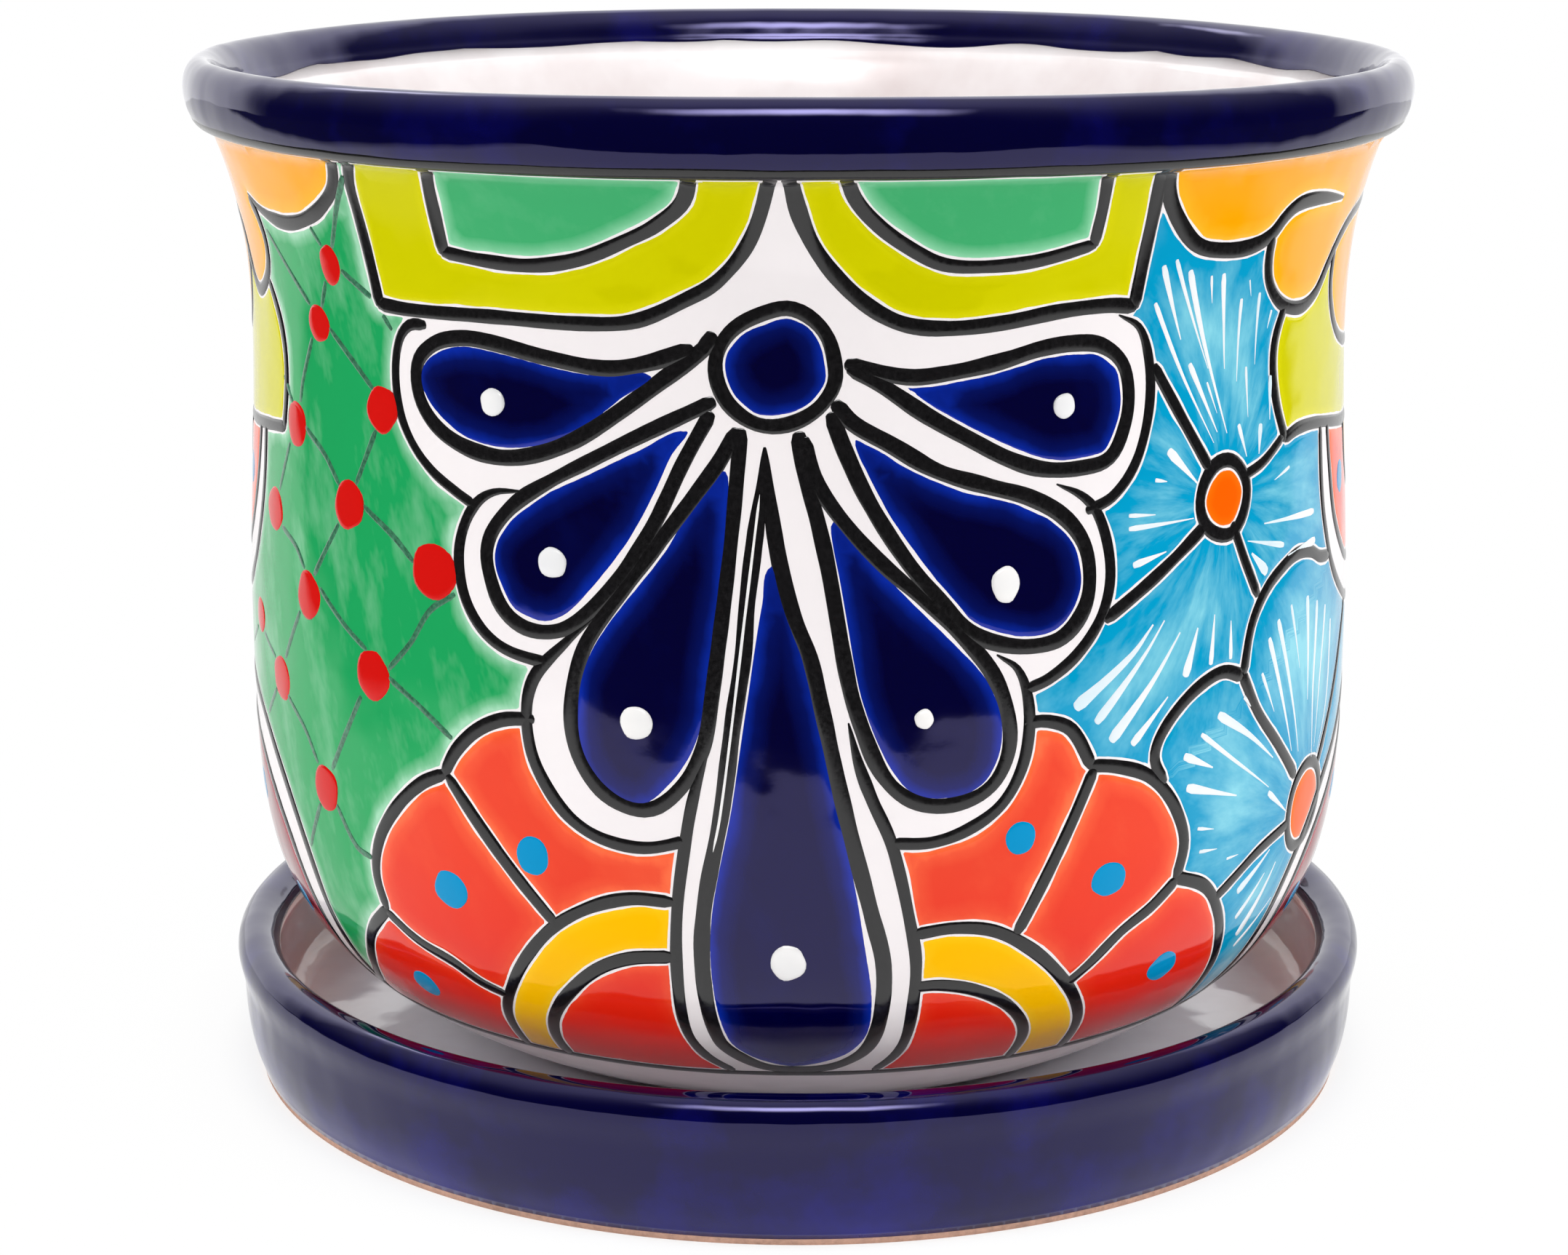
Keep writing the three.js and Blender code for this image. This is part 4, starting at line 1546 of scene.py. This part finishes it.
class FLOWERPOT_OT_studio(bpy.types.Operator):
    """Set up a pale floor, soft light and a camera in front of the pot"""

    bl_idname = "flowerpot.studio"
    bl_label = "Studio"

    # The camera: millimetres of lens, metres, degrees down, radians of roll, and the sideways shift
    lens = 77.12
    distance = 0.7104
    eye_height = 0.2714
    look_down = 14.23
    roll = 0.0011
    photo_shift = -0.00936
    # The table, in metres: its front edge, its other edges, the strip of it that is lit, and how much of
    # its glow is left by the distance from the saucer's middle
    floor_front = 0.42
    floor_reach = 1.6
    strip_half = 0.36
    strip_fade = 0.12
    strip_widening = 1.1
    contact_shadow = [(0.118, 0.5), (0.128, 0.88), (0.145, 0.975), (0.27, 1)]

    def execute(self, context):
        scene = context.scene
        self.camera(scene)
        self.floor()
        self.world(scene)
        self.lamps(scene)
        scene.view_settings.view_transform = "Standard"
        return {"FINISHED"}

    def camera(self, scene):
        """The photographer's place, worked out from the outlines of the rim and the saucer"""
        data = bpy.data.cameras.new("camera")
        data.lens = self.lens
        data.sensor_width = 36
        data.shift_x = self.photo_shift
        data.clip_end = 20
        camera = bpy.data.objects.new("camera", data)
        camera.location = (0, -self.distance, self.eye_height)
        tilt = Matrix.Rotation(math.radians(90 - self.look_down), 4, "X")
        twist = Matrix.Rotation(self.roll, 4, "Z")
        camera.matrix_world = Matrix.Translation(camera.location) @ tilt @ twist
        scene.collection.objects.link(camera)
        scene.camera = camera

    def floor(self):
        """A white table top with its front edge out of the picture, seen only in the glaze"""
        reach, front = self.floor_reach, self.floor_front
        bm = bmesh.new()
        bmesh.ops.create_grid(bm, x_segments=2, y_segments=2, size=1.0)
        bmesh.ops.scale(bm, verts=bm.verts, vec=(reach, (reach + front) / 2, 1))
        bmesh.ops.translate(bm, verts=bm.verts, vec=(0, (reach - front) / 2, 0))
        mesh = bpy.data.meshes.new("floor")
        bm.to_mesh(mesh)
        bm.free()
        floor = bpy.data.objects.new("floor", mesh)
        bpy.context.scene.collection.objects.link(floor)
        mesh.materials.append(self.floor_white())
        floor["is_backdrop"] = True

    def floor_white(self):
        """White laminate: it glows white to the camera, with a faint shadow near the pot.

        In the glaze, only a strip that widens towards the back is lit.
        """
        material, tree, shader, _ = blank("white_laminate")
        shader.inputs["Base Color"].default_value = (*to_linear("#f0f0f0"), 1)
        shader.inputs["Roughness"].default_value = 0.6
        shader.inputs["Specular IOR Level"].default_value = 0.0
        shader.inputs["Emission Color"].default_value = (1, 1, 1, 1)
        shader.inputs["Emission Strength"].default_value = 0.25
        path = node(tree, "LightPath")
        place = node(tree, "TexCoord").outputs["Object"]
        parts = node(tree, "SeparateXYZ", Vector=place)
        aside = node(tree, "Math", operation="ABSOLUTE", in0=parts.outputs["X"])
        back = node(tree, "Math", operation="MAXIMUM", in0=parts.outputs["Y"], in1=0.0)
        wing = node(
            tree, "Math", operation="MULTIPLY_ADD", in0=back.outputs[0], in1=-self.strip_widening,
            in2=aside.outputs[0],
        )
        strip = node(
            tree, "MapRange", Value=wing.outputs[0], in1=self.strip_half,
            in2=self.strip_half + self.strip_fade, in3=0.95, in4=0.04,
        )
        level = node(
            tree, "Mix", in0=path.outputs["Is Glossy Ray"], in2=1.0, in3=strip.outputs["Result"]
        )
        glow = node(tree, "Emission", Color=(1, 1, 1, 1), Strength=level.outputs[0])
        seen = node(
            tree, "Math", operation="ADD", in0=path.outputs["Is Camera Ray"],
            in1=path.outputs["Is Glossy Ray"], use_clamp=True,
        )
        away = node(tree, "VectorMath", operation="LENGTH", in0=place)
        stops = [(metres, (glow,) * 3) for metres, glow in self.contact_shadow]
        glowing = node(tree, "ValToRGB", stops, Fac=away.outputs["Value"])
        share = node(
            tree, "Math", operation="MULTIPLY", in0=seen.outputs[0], in1=glowing.outputs["Color"]
        )
        mixed = node(
            tree, "MixShader", in0=share.outputs[0], in1=shader.outputs["BSDF"],
            in2=glow.outputs["Emission"],
        )
        out = next(n for n in tree.nodes if n.type == "OUTPUT_MATERIAL")
        tree.links.new(mixed.outputs["Shader"], out.inputs["Surface"])
        return material

    def world(self, scene):
        """White behind the set. The glaze also mirrors a dark studio in front, under a pale ceiling.

        behind is the backdrop, steep the ceiling, and side dims the ceiling towards the front.
        """
        world = bpy.data.worlds.new("studio")
        scene.world = world
        world.use_nodes = True
        tree = world.node_tree
        tree.nodes.clear()
        path = node(tree, "LightPath")
        facing = node(tree, "TexCoord").outputs["Generated"]
        parts = node(tree, "SeparateXYZ", Vector=facing)
        behind = node(tree, "MapRange", Value=parts.outputs["Y"], in1=0.36, in2=0.6, in3=0.03, in4=1.3)
        side = node(tree, "MapRange", Value=parts.outputs["Y"], in1=-0.8, in2=-0.3, in3=0.08, in4=1.0)
        high = node(tree, "MapRange", Value=parts.outputs["Z"], in1=0.0, in2=1.0)
        steep = node(tree, "Math", operation="POWER", in0=high.outputs["Result"], in1=2.0)
        mirrored = node(
            tree, "Math", operation="MULTIPLY_ADD", in0=steep.outputs[0], in1=side.outputs["Result"],
            in2=behind.outputs["Result"],
        )
        soft = node(tree, "MapRange", Value=parts.outputs["Z"], in1=0.1, in2=0.7, in3=1.0, in4=0.4)
        hidden = node(
            tree, "Mix", in0=path.outputs["Is Glossy Ray"], in2=soft.outputs["Result"],
            in3=mirrored.outputs[0],
        )
        clear = node(
            tree, "Math", operation="ADD", in0=path.outputs["Is Camera Ray"],
            in1=path.outputs["Is Transmission Ray"], use_clamp=True,
        )
        level = node(tree, "Mix", in0=clear.outputs[0], in2=hidden.outputs[0], in3=1.0)
        background = node(tree, "Background", Color=(1, 1, 1, 1))
        tree.links.new(level.outputs[0], background.inputs["Strength"])
        out = node(tree, "OutputWorld")
        tree.links.new(background.outputs["Background"], out.inputs["Surface"])

    def lamps(self, scene):
        """Three plain boxes that light the pot, and two softened ones that gleam in the glaze"""
        places = [
            ("front_gleam", (0.02, -1.09, 1.27), (1.7, 0.75), 52.0, True),
            ("back_gleam", (-0.55, 0.6, 0.98), (0.4, 0.4), 2.4, True),
            ("top_box", (0.0, -0.4, 1.2), (0.9, 0.5), 4.0, False),
            ("left_box", (-1.1, -0.2, 0.95), (0.9, 0.9), 6.5, False),
            ("right_box", (1.1, -0.2, 0.95), (0.9, 0.9), 8.0, False),
        ]
        for name, place, size, power, gleams in places:
            lamp = bpy.data.lights.new(name, "AREA")
            lamp.shape = "RECTANGLE"
            lamp.size = size[0]
            lamp.size_y = size[1]
            lamp.energy = power
            item = bpy.data.objects.new(name, lamp)
            item.location = place
            aim = Vector((0, 0, 0.1)) - Vector(place)
            item.rotation_euler = aim.to_track_quat("-Z", "Y").to_euler()
            item.visible_glossy = gleams
            item.visible_diffuse = not gleams
            scene.collection.objects.link(item)
            if gleams:
                self.soften(lamp)

    def soften(self, lamp):
        """The box's cloth is brightest in its middle and fades to its edges"""
        lamp.use_nodes = True
        tree = lamp.node_tree
        tree.nodes.clear()
        place = node(tree, "SeparateXYZ", Vector=node(tree, "NewGeometry").outputs["Parametric"])
        fades = []
        for axis in ("X", "Y"):
            off = node(tree, "Math", operation="SUBTRACT", in0=place.outputs[axis], in1=0.5)
            off = node(tree, "Math", operation="ABSOLUTE", in0=off.outputs[0])
            fades.append(
                node(
                    tree, "MapRange", interpolation_type="SMOOTHSTEP", Value=off.outputs[0], in1=0.02,
                    in2=0.48, in3=1.0, in4=0.0,
                ).outputs["Result"]
            )
        level = node(tree, "Math", operation="MULTIPLY", in0=fades[0], in1=fades[1])
        glow = node(tree, "Emission", Color=(1, 1, 1, 1), Strength=level.outputs[0])
        out = node(tree, "OutputLight")
        tree.links.new(glow.outputs["Emission"], out.inputs["Surface"])


class FLOWERPOT_PT_panel(bpy.types.Panel):
    """The pot's sizes, colours and steps"""

    bl_label = "Flower Pot"
    bl_idname = "FLOWERPOT_PT_panel"
    bl_space_type = "VIEW_3D"
    bl_region_type = "UI"
    bl_category = "Flower Pot"

    def draw(self, context):
        for operator in STEPS:
            self.layout.operator(operator.bl_idname)
        for group in SETTINGS:
            box = self.layout.box()
            for name in group.__annotations__:
                box.prop(getattr(context.scene, SETTINGS[group]), name)


SETTINGS = {
    PotShape: "pot_shape",
    SaucerShape: "saucer_shape",
    PaintSizes: "paint_sizes",
    GlazeColours: "glaze_colours",
}
STEPS = (
    FLOWERPOT_OT_studio,
    FLOWERPOT_OT_pot_body,
    FLOWERPOT_OT_saucer_body,
    FLOWERPOT_OT_fans,
    FLOWERPOT_OT_drapes,
    FLOWERPOT_OT_wheels,
    FLOWERPOT_OT_sides,
    FLOWERPOT_OT_low_flowers,
    FLOWERPOT_OT_lattice,
)


def register():
    for item in (*SETTINGS, *STEPS, FLOWERPOT_PT_panel):
        bpy.utils.register_class(item)
    for group, name in SETTINGS.items():
        setattr(bpy.types.Scene, name, PointerProperty(type=group))


def unregister():
    for name in SETTINGS.values():
        delattr(bpy.types.Scene, name)
    for item in reversed((*SETTINGS, *STEPS, FLOWERPOT_PT_panel)):
        bpy.utils.unregister_class(item)


def main():
    """Build the pot, step by step, and work out how large it came out"""
    register()
    for step in STEPS:
        group, name = step.bl_idname.split(".")
        getattr(getattr(bpy.ops, group), name)()
    boxes = {"cad": CAD_BOX, "visual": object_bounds()}
    {key: [list(corner) for corner in box] for key, box in boxes.items()}


if __name__ == "__main__":
    main()
